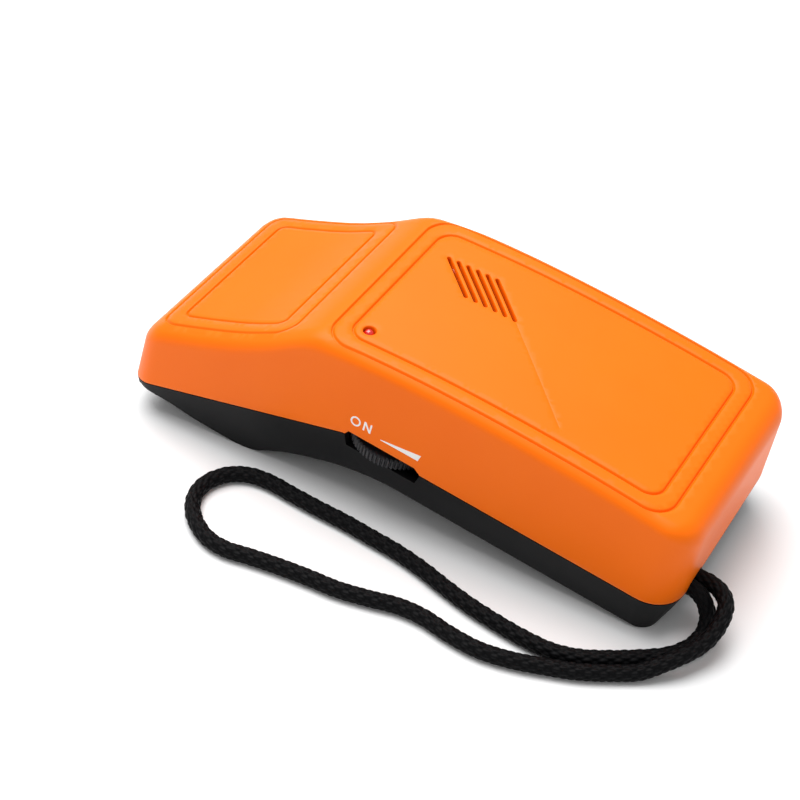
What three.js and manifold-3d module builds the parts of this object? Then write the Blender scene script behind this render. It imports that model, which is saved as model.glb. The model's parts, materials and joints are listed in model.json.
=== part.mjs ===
// Hand-held needle detector: a bent two-shell housing with a flat sensing head, a sensitivity
// thumbwheel that also switches the power, a lamp, a speaker, a 9 V block and a wrist strap.
// Millimetres. The housing is drawn in its own frame: X from the bend towards the rear, Z up,
// the parting plane of the grip at z = 0. The finished housing is then stood on its heel and
// its rear edge, so that in the exported group z = 0 is the surface it stands on.
import * as THREE from "three";
import { mergeVertices } from "three/addons/utils/BufferGeometryUtils.js";
import Module from "manifold-3d";

const wasm = await Module();
wasm.setup();

// ---------------------------------------------------------------- driving dimensions
const gripLength = 102.8; // bend to rear end
const headReach = 71; // bend to tip
const gripHalfWidth = 37.5;
const tipHalfWidth = gripHalfWidth - 1;
const rearCornerRadius = 10.6;
const tipCornerRadius = 8;
const headDrop = THREE.MathUtils.degToRad(21); // fall of the head's parting line
const crownHeight = 28.9; // parting plane to the highest point of the grip
const gripDepth = 13.6; // parting plane to the flat underside
const heelDepth = 32.2; // parting plane to the sensing face at the heel
const noseDepth = 29.2; // parting plane to the sensing face at the tip
const heelX = -33;
const topDraft = 0.064; // side lean of the upper shell, mm per mm
const underDraft = 0.217; // side lean of the lower shell, mm per mm
const rearUndercut = 4.1; // how far the rear wall leans in over the grip depth
const edgeRadius = 2.6; // rounding of the upper side edges
const rearEdgeRadius = 6;
const wall = 2.2;
const partingGap = 0.3;
const fitGap = 0.3; // air between touching pieces
const slideGap = 0.4; // air round a piece that moves

const grooveWidth = 0.7;
const grooveDepth = 0.5;
const grooveSpacing = 4.8; // outer to inner groove of a panel
const panelHalfWidth = gripHalfWidth - 4.45;
const panelFrontX = -14.2;
const panelRearX = gripLength - 11.7;
const panelCornerRadius = 7.5;
const headPanelHalfWidth = tipHalfWidth - 5.4;
const headPanelFrontX = -headReach + 5.4;
const headPanelRearX = -24.6;
const headPanelCornerRadius = 5;

const slotCount = 6;
const slotPitch = 3.15;
const slotWidth = 1.2;
const slotFirst = new THREE.Vector2(-2.6, 17.6); // far end of the first speaker slot
const slotRun = new THREE.Vector2(12, -12.1); // from its far end to its near end
const diagonalLength = 41; // of the fine line past the last slot

const lampX = -4.9;
const lampY = -23.6;
const lampDiameter = 3;
const lampHoleDiameter = lampDiameter + 0.7;

const wheelX = 10.9;
const wheelDiameter = 26;
const wheelProud = 0.9; // how far the rim stands out of the side
const wheelThickness = 3.4;
const wheelTopZ = -0.4;
const wheelTeeth = 64;
const wheelToothDepth = 0.45;
const notchFrontX = 0.6;
const notchRearX = 25;
const notchBevel = 2.2;
const notchHeight = 1.6;

const cordDiameter = 4.6;
const cordSpacing = cordDiameter + 0.4; // between the two strands where they leave the housing
const knotHalfWidth = (cordSpacing + cordDiameter) / 2 + 0.8;

const batteryWidth = 26.5;
const batteryHeight = 17.5;
const batteryCaseLength = 46.4; // without the snap terminals
const batteryRearX = gripLength - 6.8;
const batteryFrontX = batteryRearX - batteryCaseLength;
const bayHalfWidth = batteryWidth / 2 + 0.6;
const bayWall = 1.5;
const cordHoleY = -(bayHalfWidth + bayWall + 0.35 + knotHalfWidth); // the knot clears the bay
const doorThickness = 2;
const doorHalfWidth = batteryWidth / 2 + 2.35;
const doorFrontX = batteryFrontX - 6.1;
const doorTongueWidth = 1.2;
const doorTongueThickness = 0.8;
const doorTongueLength = 6;
const doorTravel = 9;

const boardTopZ = 7.6;
const boardThickness = 1.6;
const boardFrontX = -7.3;
const boardRearX = batteryFrontX - 8.6;
const boardHalfWidth = gripHalfWidth - 5;
const postDiameter = 5.4;

const screwShankDiameter = 2.6;
const screwHeadDiameter = 5.2;
const screwHeadHeight = 2;
const bossDiameter = screwHeadDiameter + 3.2;
const bossFrontX = -11.5;
const bossRearX = gripLength - 16.8;
const bossY = gripHalfWidth - 8.2;

const speakerX = 12.2;
const speakerY = 11.4;
const speakerDiameter = 28.6;

// ---------------------------------------------------------------- finishes
function finish(color, roughness, metalness = 0) {
  return new THREE.MeshStandardMaterial({ color, roughness, metalness });
}
const orangePlastic = finish(0xfd7f14, 0.38);
const blackPlastic = finish(0x17171a, 0.42);
const wheelPlastic = finish(0x121214, 0.5);
const braidedNylon = finish(0x0b0b0c, 0.85);
const redLens = finish(0xd8181c, 0.2);
const tinned = finish(0xb9bcc0, 0.35, 0.9);
const steel = finish(0x8d9196, 0.4, 0.9);
const brass = finish(0xb99a4e, 0.35, 0.9);
const copperWire = finish(0xa9582b, 0.35, 0.8);
const greenBoard = finish(0x1f6a3b, 0.5);
const blackEpoxy = finish(0x1a1b1d, 0.6);
const blueSleeve = finish(0x1d2f6e, 0.4);
const blueBody = finish(0x2f6fb7, 0.5);
const paperCone = finish(0x2a2724, 0.9);
const darkFerrite = finish(0x2b2b2e, 0.55);
const nickel = finish(0xc9c8c2, 0.25, 0.95);
const whiteNylon = finish(0xe6e2d6, 0.55);
const batteryWrap = finish(0x2c3440, 0.35, 0.3);
const redSleeve = finish(0xb3201c, 0.5);
const blackSleeve = finish(0x161616, 0.5);
const greyFoam = finish(0x5c5e62, 0.95);

// ---------------------------------------------------------------- solids
function solidOf(geometry) {
  const flat = geometry.index ? geometry.toNonIndexed() : geometry.clone();
  flat.deleteAttribute("normal");
  flat.deleteAttribute("uv");
  const merged = mergeVertices(flat, 1e-4);
  return new wasm.Manifold(
    new wasm.Mesh({
      numProp: 3,
      vertProperties: new Float32Array(merged.attributes.position.array),
      triVerts: new Uint32Array(merged.index.array),
    }),
  );
}

function geometryOf(solid) {
  const mesh = solid.getMesh();
  const corners = new Float32Array(mesh.numVert * 3);
  for (let i = 0; i < mesh.numVert; i++) {
    const start = i * mesh.numProp;
    corners.set(mesh.vertProperties.subarray(start, start + 3), i * 3);
  }
  const geometry = new THREE.BufferGeometry();
  geometry.setAttribute("position", new THREE.BufferAttribute(corners, 3));
  geometry.setIndex(new THREE.BufferAttribute(new Uint32Array(mesh.triVerts), 1));
  return geometry;
}

function joined(...solids) {
  return solids.reduce((whole, piece) => whole.add(piece));
}

// A box between two corners.
function box(x0, x1, y0, y1, z0, z1) {
  const geometry = new THREE.BoxGeometry(x1 - x0, y1 - y0, z1 - z0);
  return solidOf(geometry.translate((x0 + x1) / 2, (y0 + y1) / 2, (z0 + z1) / 2));
}

// An upright round bar.
function post(x, y, z0, z1, diameter, sides = 20) {
  const geometry = new THREE.CylinderGeometry(diameter / 2, diameter / 2, z1 - z0, sides);
  return solidOf(geometry.rotateX(Math.PI / 2).translate(x, y, (z0 + z1) / 2));
}

// The same outline as straight steps, without points that lie on top of each other.
function stepped(shape, curveSegments) {
  const kept = [];
  const points = shape.extractPoints(curveSegments).shape;
  for (const p of points) {
    if (kept.length === 0 || p.distanceTo(kept[kept.length - 1]) > 0.02) kept.push(p);
  }
  if (kept[0].distanceTo(kept[kept.length - 1]) < 0.02) kept.pop();
  const outline = new THREE.Shape(kept);
  outline.holes = shape.holes;
  return outline;
}

// A side view, points as (x, z), drawn across the width from -halfWidth to +halfWidth.
// A rounding above zero takes the edges of the outline off with a quarter round.
function acrossWidth(shape, halfWidth, rounding = 0) {
  const geometry = new THREE.ExtrudeGeometry(stepped(shape, 8), {
    depth: 2 * (halfWidth - rounding),
    bevelEnabled: rounding > 0,
    bevelThickness: rounding,
    bevelSize: rounding,
    bevelOffset: -rounding,
    bevelSegments: 3,
  });
  return solidOf(geometry.rotateX(Math.PI / 2).translate(0, halfWidth - rounding, 0));
}

// A plan view, points as (x, y), drawn up from z0 to z1.
function upright(shape, z0, z1, curveSegments = 8) {
  const geometry = new THREE.ExtrudeGeometry(stepped(shape, curveSegments), {
    depth: z1 - z0,
    bevelEnabled: false,
  });
  return solidOf(geometry.translate(0, 0, z0));
}

// A round section turned about an upright axis, points as (radius, z).
function turned(points, x, y, sides = 32) {
  const profile = points.map(([r, z]) => new THREE.Vector2(r, z));
  const geometry = new THREE.LatheGeometry(profile, sides);
  return solidOf(geometry.rotateX(Math.PI / 2).translate(x, y, 0));
}

// A round wire or cord along a smooth curve through points.
function alongPoints(points, diameter, sides, steps) {
  const route = new THREE.CatmullRomCurve3(
    points.map((p) => new THREE.Vector3(...p)),
    false,
    "centripetal",
  );
  const section = new THREE.Shape();
  for (let i = 0; i < sides; i++) {
    const angle = (2 * Math.PI * i) / sides;
    const corner = [(diameter / 2) * Math.cos(angle), (diameter / 2) * Math.sin(angle)];
    if (i === 0) section.moveTo(...corner);
    else section.lineTo(...corner);
  }
  section.closePath();
  return new THREE.ExtrudeGeometry(section, { steps, extrudePath: route, bevelEnabled: false });
}

const quarterTurn = Math.PI / 2;

function roundedRectangle(x0, x1, halfWidth, radius) {
  const shape = new THREE.Shape();
  shape.moveTo(x0 + radius, -halfWidth);
  shape.absarc(x1 - radius, -halfWidth + radius, radius, -quarterTurn, 0, false);
  shape.absarc(x1 - radius, halfWidth - radius, radius, 0, quarterTurn, false);
  shape.absarc(x0 + radius, halfWidth - radius, radius, quarterTurn, 2 * quarterTurn, false);
  shape.absarc(x0 + radius, -halfWidth + radius, radius, 2 * quarterTurn, 3 * quarterTurn, false);
  return shape;
}

// ---------------------------------------------------------------- housing outlines
function partingZ(x) {
  return x < 0 ? x * Math.tan(headDrop) : 0;
}

// The plan of the housing at the parting line, drawn smaller by inset.
function planOutline(inset) {
  const rear = gripLength - inset;
  const tip = -headReach + inset;
  const side = gripHalfWidth - inset;
  const tipSide = tipHalfWidth - inset;
  const rearRadius = rearCornerRadius;
  const tipRadius = tipCornerRadius;
  const shape = new THREE.Shape();
  shape.moveTo(tip + tipRadius, -tipSide);
  shape.lineTo(0, -side);
  shape.absarc(rear - rearRadius, -side + rearRadius, rearRadius, -quarterTurn, 0, false);
  shape.absarc(rear - rearRadius, side - rearRadius, rearRadius, 0, quarterTurn, false);
  shape.lineTo(0, side);
  const tipX = tip + tipRadius;
  const tipY = tipSide - tipRadius;
  shape.absarc(tipX, tipY, tipRadius, quarterTurn, 2 * quarterTurn, false);
  shape.absarc(tipX, -tipY, tipRadius, 2 * quarterTurn, 3 * quarterTurn, false);
  return shape;
}

// Walls that lean in as they leave the parting line, upwards or downwards.
function leaningWalls(inset, draft, upwards) {
  const height = upwards ? crownHeight - partingZ(-headReach) : heelDepth + 1;
  const skirt = 2;
  const geometry = new THREE.ExtrudeGeometry(stepped(planOutline(inset), 6), {
    depth: skirt,
    bevelEnabled: true,
    bevelThickness: height,
    bevelSize: draft * height,
    bevelOffset: -draft * height,
    bevelSegments: 1,
  });
  geometry.translate(0, 0, upwards ? -skirt : 0);
  const corners = geometry.attributes.position;
  for (let i = 0; i < corners.count; i++) {
    corners.setZ(i, corners.getZ(i) + partingZ(corners.getX(i)));
  }
  return solidOf(geometry);
}

// Top line of the housing seen from the side, from the tip back to the rear rounding.
const crownLine = [
  [-headReach + 3.4, -5],
  [-headReach + 11, -1.4],
  [-headReach + 19, 2.4],
  [-40, 8.6],
  [-30, crownHeight - 13.9],
  [-24, crownHeight - 9.4],
  [-20, crownHeight - 6.4],
  [-16.5, crownHeight - 4.4],
  [-12, crownHeight - 3.3],
  [0, crownHeight - 1.9],
  [20, crownHeight - 0.5],
  [44, crownHeight],
  [70, crownHeight - 0.5],
];
const crownRearZ = crownHeight - 2;
const tipEdgeRadius = 3.2;

function crownPoints() {
  const rearX = gripLength - topDraft * (crownRearZ - rearEdgeRadius) - rearEdgeRadius;
  const points = [...crownLine, [rearX, crownRearZ]].map(([x, z]) => new THREE.Vector2(x, z));
  return new THREE.SplineCurve(points).getPoints(26);
}

function crownZ(x) {
  const points = crownPoints();
  const after = points.findIndex((p) => p.x >= x);
  const low = points[Math.max(after - 1, 0)];
  const high = points[Math.max(after, 1)];
  return low.y + ((high.y - low.y) * (x - low.x)) / (high.x - low.x);
}

// Height of the speaker's rim, just under the crown's inner face.
function speakerRimZ() {
  return crownZ(speakerX - speakerDiameter / 2) - wall - 0.4;
}

// Side view of everything under the crown line, sunk by depth and shortened by inset at the ends.
function upperProfile(depth, inset) {
  const crown = crownPoints();
  const first = crown[0];
  const last = crown[crown.length - 1];
  const lowZ = partingZ(-headReach) - 12;
  const shape = new THREE.Shape();
  const rear = last.x + rearEdgeRadius - inset;
  const front = first.x - tipEdgeRadius + 1.35 + inset;
  const rearRadius = Math.max(rearEdgeRadius - inset, 0.6);
  const frontRadius = Math.max(tipEdgeRadius - inset, 0.6);
  shape.moveTo(front + topDraft * (lowZ - first.y), lowZ);
  shape.lineTo(rear - topDraft * (lowZ - last.y), lowZ);
  shape.lineTo(rear, last.y - depth - rearRadius);
  shape.absarc(rear - rearRadius, last.y - depth - rearRadius, rearRadius, 0, quarterTurn, false);
  for (const p of crown.slice().reverse()) {
    const clearOfArcs = p.x < rear - rearRadius - 0.5 && p.x > front + frontRadius + 0.5;
    if (clearOfArcs) shape.lineTo(p.x, p.y - depth);
  }
  const slope = Math.atan2(crown[1].y - first.y, crown[1].x - first.x);
  const arcX = front + frontRadius;
  const arcZ = crownZ(arcX) - depth - frontRadius / Math.cos(slope);
  shape.absarc(arcX, arcZ, frontRadius, quarterTurn + slope, 2 * quarterTurn, false);
  return shape;
}

// Underside of the grip seen from the side, from the flat back to the heel.
const waistLine = [
  [16, -gripDepth],
  [8, -gripDepth - 1],
  [0, -gripDepth - 3],
  [-8, -gripDepth - 5.9],
  [-15, -heelDepth + 9.6],
  [-21, -heelDepth + 6.1],
  [-26, -heelDepth + 2.4],
];
const heelStart = new THREE.Vector2(-29.5, -heelDepth);
const noseStart = new THREE.Vector2(-headReach + 9, -noseDepth);
const footRadius = 1.5; // of the rear edge that the housing stands on

// Side view of everything over the underside, raised by depth and shortened by inset at the ends.
function lowerProfile(depth, inset) {
  const waist = new THREE.SplineCurve(waistLine.map(([x, z]) => new THREE.Vector2(x, z)));
  const rearTop = gripLength - inset + 0.05;
  const highZ = crownHeight;
  const lean = rearUndercut / gripDepth;
  const floorZ = -gripDepth + depth;
  const shape = new THREE.Shape();
  shape.moveTo(rearTop + lean * highZ, highZ);
  shape.lineTo(-headReach - 1 + inset, highZ);
  shape.lineTo(-headReach + inset, partingZ(-headReach) + depth);
  shape.lineTo(-headReach + inset + 3, -noseDepth + depth + 0.8);
  shape.lineTo(noseStart.x, noseStart.y + depth);
  shape.lineTo(heelX - 2, -heelDepth + depth + 0.2);
  const heelEnd = waistLine[waistLine.length - 1];
  shape.quadraticCurveTo(heelStart.x, heelStart.y + depth, heelEnd[0], heelEnd[1] + depth);
  for (const p of waist.getPoints(14).reverse().slice(1)) shape.lineTo(p.x, p.y + depth);
  const rearLow = rearTop - lean * gripDepth + lean * depth;
  shape.lineTo(rearLow - footRadius, floorZ);
  shape.quadraticCurveTo(rearLow, floorZ, rearLow + lean * footRadius, floorZ + footRadius);
  return shape;
}

// Everything above or below the parting line, kept clear of it by half the parting gap.
function partingRegion(above) {
  const far = gripLength + 20;
  const reach = headReach + 20;
  const edge = above ? partingGap / 2 : -partingGap / 2;
  const limit = above ? 80 : -80;
  const shape = new THREE.Shape();
  const line = [
    [far, edge],
    [0, edge],
    [-reach, partingZ(-reach) + edge],
    [-reach, limit],
    [far, limit],
  ];
  line.forEach(([x, z], i) => (i === 0 ? shape.moveTo(x, z) : shape.lineTo(x, z)));
  return acrossWidth(shape, gripHalfWidth + 20);
}

// The outside of the upper half, or its hollow when inset by the wall.
function upperBody(inset, sink = 0) {
  const topHalfWidth = gripHalfWidth - inset - topDraft * crownHeight;
  const rounding = Math.max(edgeRadius - inset, 0.5);
  const crowned = acrossWidth(upperProfile(inset + sink, inset), topHalfWidth, rounding);
  const broad = acrossWidth(upperProfile(inset + sink + rounding, inset), gripHalfWidth + 1);
  return leaningWalls(inset, topDraft, true).intersect(crowned.add(broad));
}

// The outside of the lower half, or its hollow.
function lowerBody(inset) {
  const floorHalfWidth = gripHalfWidth - inset - underDraft * gripDepth + 0.2;
  const rounding = Math.max(1.2 - inset, 0.3);
  const floored = acrossWidth(lowerProfile(inset, inset), floorHalfWidth, rounding);
  const broad = acrossWidth(lowerProfile(inset + rounding, inset), gripHalfWidth + 1);
  return leaningWalls(inset, underDraft, false).intersect(floored.add(broad));
}
const above = partingRegion(true);
const below = partingRegion(false);

// ---------------------------------------------------------------- cutting shapes
// A view from the rear, points as (y, z), drawn along the length from x0 to x1.
function alongLength(shape, x0, x1) {
  const geometry = new THREE.ExtrudeGeometry(stepped(shape, 6), {
    depth: x1 - x0,
    bevelEnabled: false,
  });
  const turn = new THREE.Matrix4().makeBasis(
    new THREE.Vector3(0, 1, 0),
    new THREE.Vector3(0, 0, 1),
    new THREE.Vector3(1, 0, 0),
  );
  return solidOf(geometry.applyMatrix4(turn).translate(x0, 0, 0));
}

// A straight slot with round ends between two plan points.
function slotSolid(from, to, width, z0, z1) {
  const run = to.clone().sub(from);
  const shape = roundedRectangle(-width / 2, run.length() + width / 2, width / 2, width / 2 - 0.01);
  const geometry = new THREE.ExtrudeGeometry(stepped(shape, 3), {
    depth: z1 - z0,
    bevelEnabled: false,
  });
  return solidOf(geometry.rotateZ(run.angle()).translate(from.x, from.y, z0));
}

// The outline of a panel groove: a narrow frame drawn upright.
function grooveFrame(x0, x1, halfWidth, radius) {
  const half = grooveWidth / 2;
  const outer = roundedRectangle(x0 - half, x1 + half, halfWidth + half, radius + half);
  const inner = roundedRectangle(x0 + half, x1 - half, halfWidth - half, radius - half);
  outer.holes.push(new THREE.Path(inner.getPoints(4).reverse()));
  return upright(outer, -20, crownHeight + 5, 4);
}

function panelGrooves() {
  const frames = [0, grooveSpacing].flatMap((step) => [
    grooveFrame(
      panelFrontX + step,
      panelRearX - step,
      panelHalfWidth - step,
      panelCornerRadius - step / 2,
    ),
    grooveFrame(
      headPanelFrontX + step,
      headPanelRearX - step,
      headPanelHalfWidth - step,
      headPanelCornerRadius - step / 2,
    ),
  ]);
  return joined(...frames).subtract(upperBody(0, grooveDepth));
}

function speakerSlots() {
  const slots = [];
  for (let i = 0; i < slotCount; i++) {
    const from = slotFirst.clone().add(new THREE.Vector2(i * slotPitch, 0));
    const to = from.clone().add(slotRun);
    slots.push(slotSolid(from, to, slotWidth, crownHeight - 6, crownHeight + 5));
  }
  return joined(...slots);
}

// The fine line that carries the last slot on across the crown.
function diagonalGroove() {
  const from = slotFirst.clone().add(slotRun);
  from.x += (slotCount - 1) * slotPitch;
  const ahead = slotRun.clone().normalize();
  const start = from.clone().addScaledVector(ahead, 1.6);
  const end = from.clone().addScaledVector(ahead, diagonalLength);
  return slotSolid(start, end, 0.5, crownHeight - 14, crownHeight + 11).subtract(upperBody(0, 0.35));
}

// The opening in the side wall that the thumbwheel looks out of.
function wheelNotch() {
  const lowZ = wheelTopZ - wheelThickness - slideGap - 0.4;
  const corners = [
    [notchFrontX, 0],
    [notchFrontX + 1, notchHeight],
    [notchRearX - notchBevel, notchHeight],
    [notchRearX, 0],
    [notchRearX - 1.2, lowZ],
    [notchFrontX + 0.8, lowZ],
  ];
  const shape = new THREE.Shape(corners.map(([x, z]) => new THREE.Vector2(x, z)));
  const geometry = new THREE.ExtrudeGeometry(shape, { depth: 14, bevelEnabled: false });
  return solidOf(geometry.rotateX(Math.PI / 2).translate(0, -gripHalfWidth + 8, 0));
}

function cordHole() {
  const halfWidth = (cordSpacing + cordDiameter) / 2 + 0.4;
  const halfHeight = cordDiameter / 2 + 0.4;
  const near = cordHoleY - halfWidth;
  const shape = roundedRectangle(near, near + 2 * halfWidth, halfHeight, halfHeight - 0.1);
  return alongLength(shape, gripLength - 8, gripLength + 4);
}

const bossPlaces = [
  ["front_near", bossFrontX, -bossY],
  ["front_far", bossFrontX, bossY],
  ["rear_near", bossRearX, -bossY],
  ["rear_far", bossRearX, bossY],
];
const boardScrewPlaces = [
  ["1", boardFrontX + 5.8, -14],
  ["2", boardRearX - 5, 24],
  ["3", boardRearX - 5, -24],
];
const screwTopReach = 8; // how far a case screw goes into the upper boss

// ---------------------------------------------------------------- shells
function topShell() {
  const skin = upperBody(0).intersect(above);
  const hollow = upperBody(wall);
  let shell = skin.subtract(hollow);
  for (const [, x, y] of bossPlaces) {
    const boss = post(x, y, partingZ(x) + partingGap / 2, crownZ(x) - wall / 2, bossDiameter);
    shell = shell.add(boss.intersect(skin));
  }
  for (const [, x, y] of boardScrewPlaces) {
    shell = shell.add(post(x, y, boardTopZ + fitGap, crownZ(x) - wall / 2, postDiameter, 16));
  }
  const speakerTopZ = speakerRimZ();
  const round = (low, high, width) =>
    post(speakerX, speakerY, speakerTopZ + low, speakerTopZ + high, width, 32);
  const collar = round(-4.2, 2.8, speakerDiameter + 3.2).subtract(round(-6, 4, speakerDiameter + 0.8));
  shell = shell.add(collar.intersect(skin));
  for (const x of [batteryFrontX + 12.4, batteryRearX - 12]) {
    shell = shell.add(box(x - 0.8, x + 0.8, -10, 10, padTopZ + fitGap, crownZ(x) - wall / 2));
  }
  for (const [, x, y] of bossPlaces) {
    const pilot = screwShankDiameter + 2 * fitGap;
    shell = shell.subtract(post(x, y, partingZ(x) - 2, partingZ(x) + screwTopReach + 1, pilot, 12));
  }
  for (const [, x, y] of boardScrewPlaces) {
    shell = shell.subtract(post(x, y, boardTopZ - 1, boardTopZ + 6, 1.9 + 2 * fitGap, 12));
  }
  const lampHole = post(lampX, lampY, crownZ(lampX) - 6, crownZ(lampX) + 3, lampHoleDiameter, 20);
  return shell
    .subtract(panelGrooves())
    .subtract(speakerSlots())
    .subtract(diagonalGroove())
    .subtract(lampHole)
    .subtract(wheelNotch())
    .subtract(cordHole());
}

const floorTopZ = -gripDepth + doorThickness + 2.2;
const batteryLowZ = -gripDepth + doorThickness + 0.5;
const batteryTopZ = batteryLowZ + batteryHeight;
const padTopZ = batteryTopZ + fitGap + 3;
const bayTopZ = -1;
const tongueStarts = [doorFrontX + 6.5, gripLength - 24.8];
const tongueLowZ = -gripDepth + 1;
const doorLowZ = -gripDepth + 0.3; // the door sits a little inside the underside

function bottomShell() {
  const skin = lowerBody(0).intersect(below);
  const bayFrontX = doorFrontX - 1;
  let shell = skin.subtract(lowerBody(wall));
  const inner = (solid) => solid.intersect(skin);
  const floorHalfWidth = doorHalfWidth + 3.9;
  shell = shell.add(
    inner(box(bayFrontX - 2, gripLength, -floorHalfWidth, floorHalfWidth, -gripDepth, floorTopZ)),
  );
  for (const side of [-1, 1]) {
    const y0 = side * bayHalfWidth;
    const y1 = side * (bayHalfWidth + bayWall);
    const low = Math.min(y0, y1);
    const high = Math.max(y0, y1);
    shell = shell.add(inner(box(bayFrontX, gripLength - 4.8, low, high, floorTopZ - 1, bayTopZ)));
  }
  const yEnd = bayHalfWidth + bayWall;
  shell = shell.add(box(bayFrontX - bayWall, bayFrontX, -yEnd, yEnd, floorTopZ - 1, bayTopZ));
  for (const [, x, y] of bossPlaces) {
    shell = shell.add(inner(post(x, y, -heelDepth, partingZ(x) - partingGap / 2, bossDiameter)));
  }
  for (const [, x, y] of bossPlaces) {
    const shankHole = screwShankDiameter + 2 * fitGap;
    shell = shell.subtract(post(x, y, -heelDepth, partingZ(x) + 3, shankHole, 12));
    const seatZ = screwSeatZ(x);
    shell = shell.subtract(post(x, y, -heelDepth - 2, seatZ, screwHeadDiameter + 1, 20));
  }
  // battery opening, then the recess that the door slides in
  const openHalf = batteryWidth / 2 + 0.75;
  shell = shell.subtract(
    box(doorFrontX + 2.5, gripLength - 6, -openHalf, openHalf, -gripDepth - 1, floorTopZ + 0.1),
  );
  const recess = doorHalfWidth + slideGap;
  const recessTopZ = -gripDepth + doorThickness + slideGap;
  shell = shell.subtract(
    box(doorFrontX - slideGap, gripLength + 2, -recess, recess, -gripDepth - 1, recessTopZ),
  );
  for (const start of tongueStarts) {
    const reach = doorHalfWidth + doorTongueWidth + slideGap;
    const x1 = start + doorTongueLength + slideGap + doorTravel;
    const z0 = tongueLowZ - slideGap;
    const z1 = tongueLowZ + doorTongueThickness + slideGap;
    shell = shell.subtract(box(start - slideGap, x1, -reach, reach, z0, z1));
    // where the lip is cut away, so that the slid-back door drops out
    const x0 = start + doorTravel - slideGap;
    shell = shell.subtract(box(x0, x1, -reach, reach, -gripDepth - 1, z1));
  }
  return shell.subtract(wheelNotch()).subtract(cordHole());
}

function screwSeatZ(x) {
  return partingZ(x) - 6;
}

function batteryDoor() {
  const y = doorHalfWidth;
  const plate = box(doorFrontX, gripLength, -y, y, doorLowZ, -gripDepth + doorThickness);
  let door = plate.intersect(lowerBody(0));
  for (const start of tongueStarts) {
    const reach = doorHalfWidth + doorTongueWidth;
    const top = tongueLowZ + doorTongueThickness;
    door = door.add(box(start, start + doorTongueLength, -reach, reach, tongueLowZ, top));
  }
  // grip ridges for the thumb
  for (let i = 0; i < 5; i++) {
    const x = doorFrontX + 8.5 + i * 2.2;
    door = door.subtract(box(x, x + 1.1, -9, 9, -gripDepth - 1, doorLowZ + 0.6));
  }
  return door;
}

// ---------------------------------------------------------------- thumbwheel and potentiometer
const wheelRadius = wheelDiameter / 2;
const wheelY = -gripHalfWidth - wheelProud + wheelRadius;
const wheelLowZ = wheelTopZ - wheelThickness;
const shaftDiameter = 3;
const potBodyDiameter = 9.6;
const potLowZ = 1.2;

function thumbwheel() {
  const rim = new THREE.Shape();
  for (let i = 0; i < wheelTeeth; i++) {
    const angle = (2 * Math.PI * i) / wheelTeeth;
    const step = (2 * Math.PI) / wheelTeeth;
    const low = wheelRadius - wheelToothDepth;
    const corners = [
      [low, angle],
      [wheelRadius, angle + step * 0.25],
      [wheelRadius, angle + step * 0.6],
      [low, angle + step * 0.85],
    ];
    corners.forEach(([r, a], k) => {
      const point = [r * Math.cos(a), r * Math.sin(a)];
      if (i === 0 && k === 0) rim.moveTo(...point);
      else rim.lineTo(...point);
    });
  }
  const geometry = new THREE.ExtrudeGeometry(rim, {
    depth: wheelThickness - 0.6,
    bevelThickness: 0.3,
    bevelSize: 0.25,
    bevelOffset: -0.25,
    bevelSegments: 1,
  });
  const disc = solidOf(geometry.translate(wheelX, wheelY, wheelLowZ + 0.3));
  const bore = post(wheelX, wheelY, wheelLowZ - 1, wheelTopZ + 1, shaftDiameter + 2 * fitGap, 16);
  const dish = post(wheelX, wheelY, wheelLowZ - 1, wheelLowZ + 0.8, wheelDiameter - 5, 28);
  return disc.subtract(bore).subtract(dish);
}

function potBody() {
  const topZ = boardTopZ - boardThickness - fitGap;
  const body = post(wheelX, wheelY, potLowZ, topZ, potBodyDiameter, 24);
  const bore = post(wheelX, wheelY, potLowZ - 1, potLowZ + 3.6, shaftDiameter + 2 * slideGap, 16);
  return body.subtract(bore);
}

function potShaft() {
  return post(wheelX, wheelY, wheelLowZ + 2.1, potLowZ + 3.2, shaftDiameter, 16);
}

function wheelScrew() {
  const headTop = wheelLowZ + 0.5;
  const head = post(wheelX, wheelY, headTop - 1.2, headTop, 4.6, 20);
  const shank = post(wheelX, wheelY, headTop - 0.2, wheelLowZ + 1.8, 1.7, 12);
  const slot = box(wheelX - 3, wheelX + 3, wheelY - 0.35, wheelY + 0.35, headTop - 2, headTop - 0.7);
  return head.add(shank).subtract(slot);
}

// ---------------------------------------------------------------- fasteners
function caseScrew(x, y) {
  const seat = screwSeatZ(x) - fitGap;
  const head = post(x, y, seat - screwHeadHeight, seat, screwHeadDiameter, 20);
  const shank = post(x, y, seat - 0.2, partingZ(x) + screwTopReach, screwShankDiameter, 12);
  const crossTopZ = seat - screwHeadHeight + 0.9;
  const cross = (dx, dy) => box(x - dx, x + dx, y - dy, y + dy, seat - 3, crossTopZ);
  return head.add(shank).subtract(cross(1.7, 0.35)).subtract(cross(0.35, 1.7));
}

function boardScrew(x, y) {
  const seat = boardTopZ - boardThickness - fitGap;
  const head = post(x, y, seat - 1.4, seat, 3.8, 16);
  const shank = post(x, y, seat - 0.2, boardTopZ + 5, 1.9, 12);
  const slot = box(x - 3, x + 3, y - 0.3, y + 0.3, seat - 2, seat - 0.8);
  return head.add(shank).subtract(slot);
}

// ---------------------------------------------------------------- board and its parts
function circuitBoard() {
  const shape = roundedRectangle(boardFrontX, boardRearX, boardHalfWidth, 1.5);
  let board = upright(shape, boardTopZ - boardThickness, boardTopZ);
  for (const [, x, y] of boardScrewPlaces) {
    board = board.subtract(post(x, y, boardTopZ - 3, boardTopZ + 1, 2.6, 12));
  }
  return board;
}

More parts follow.
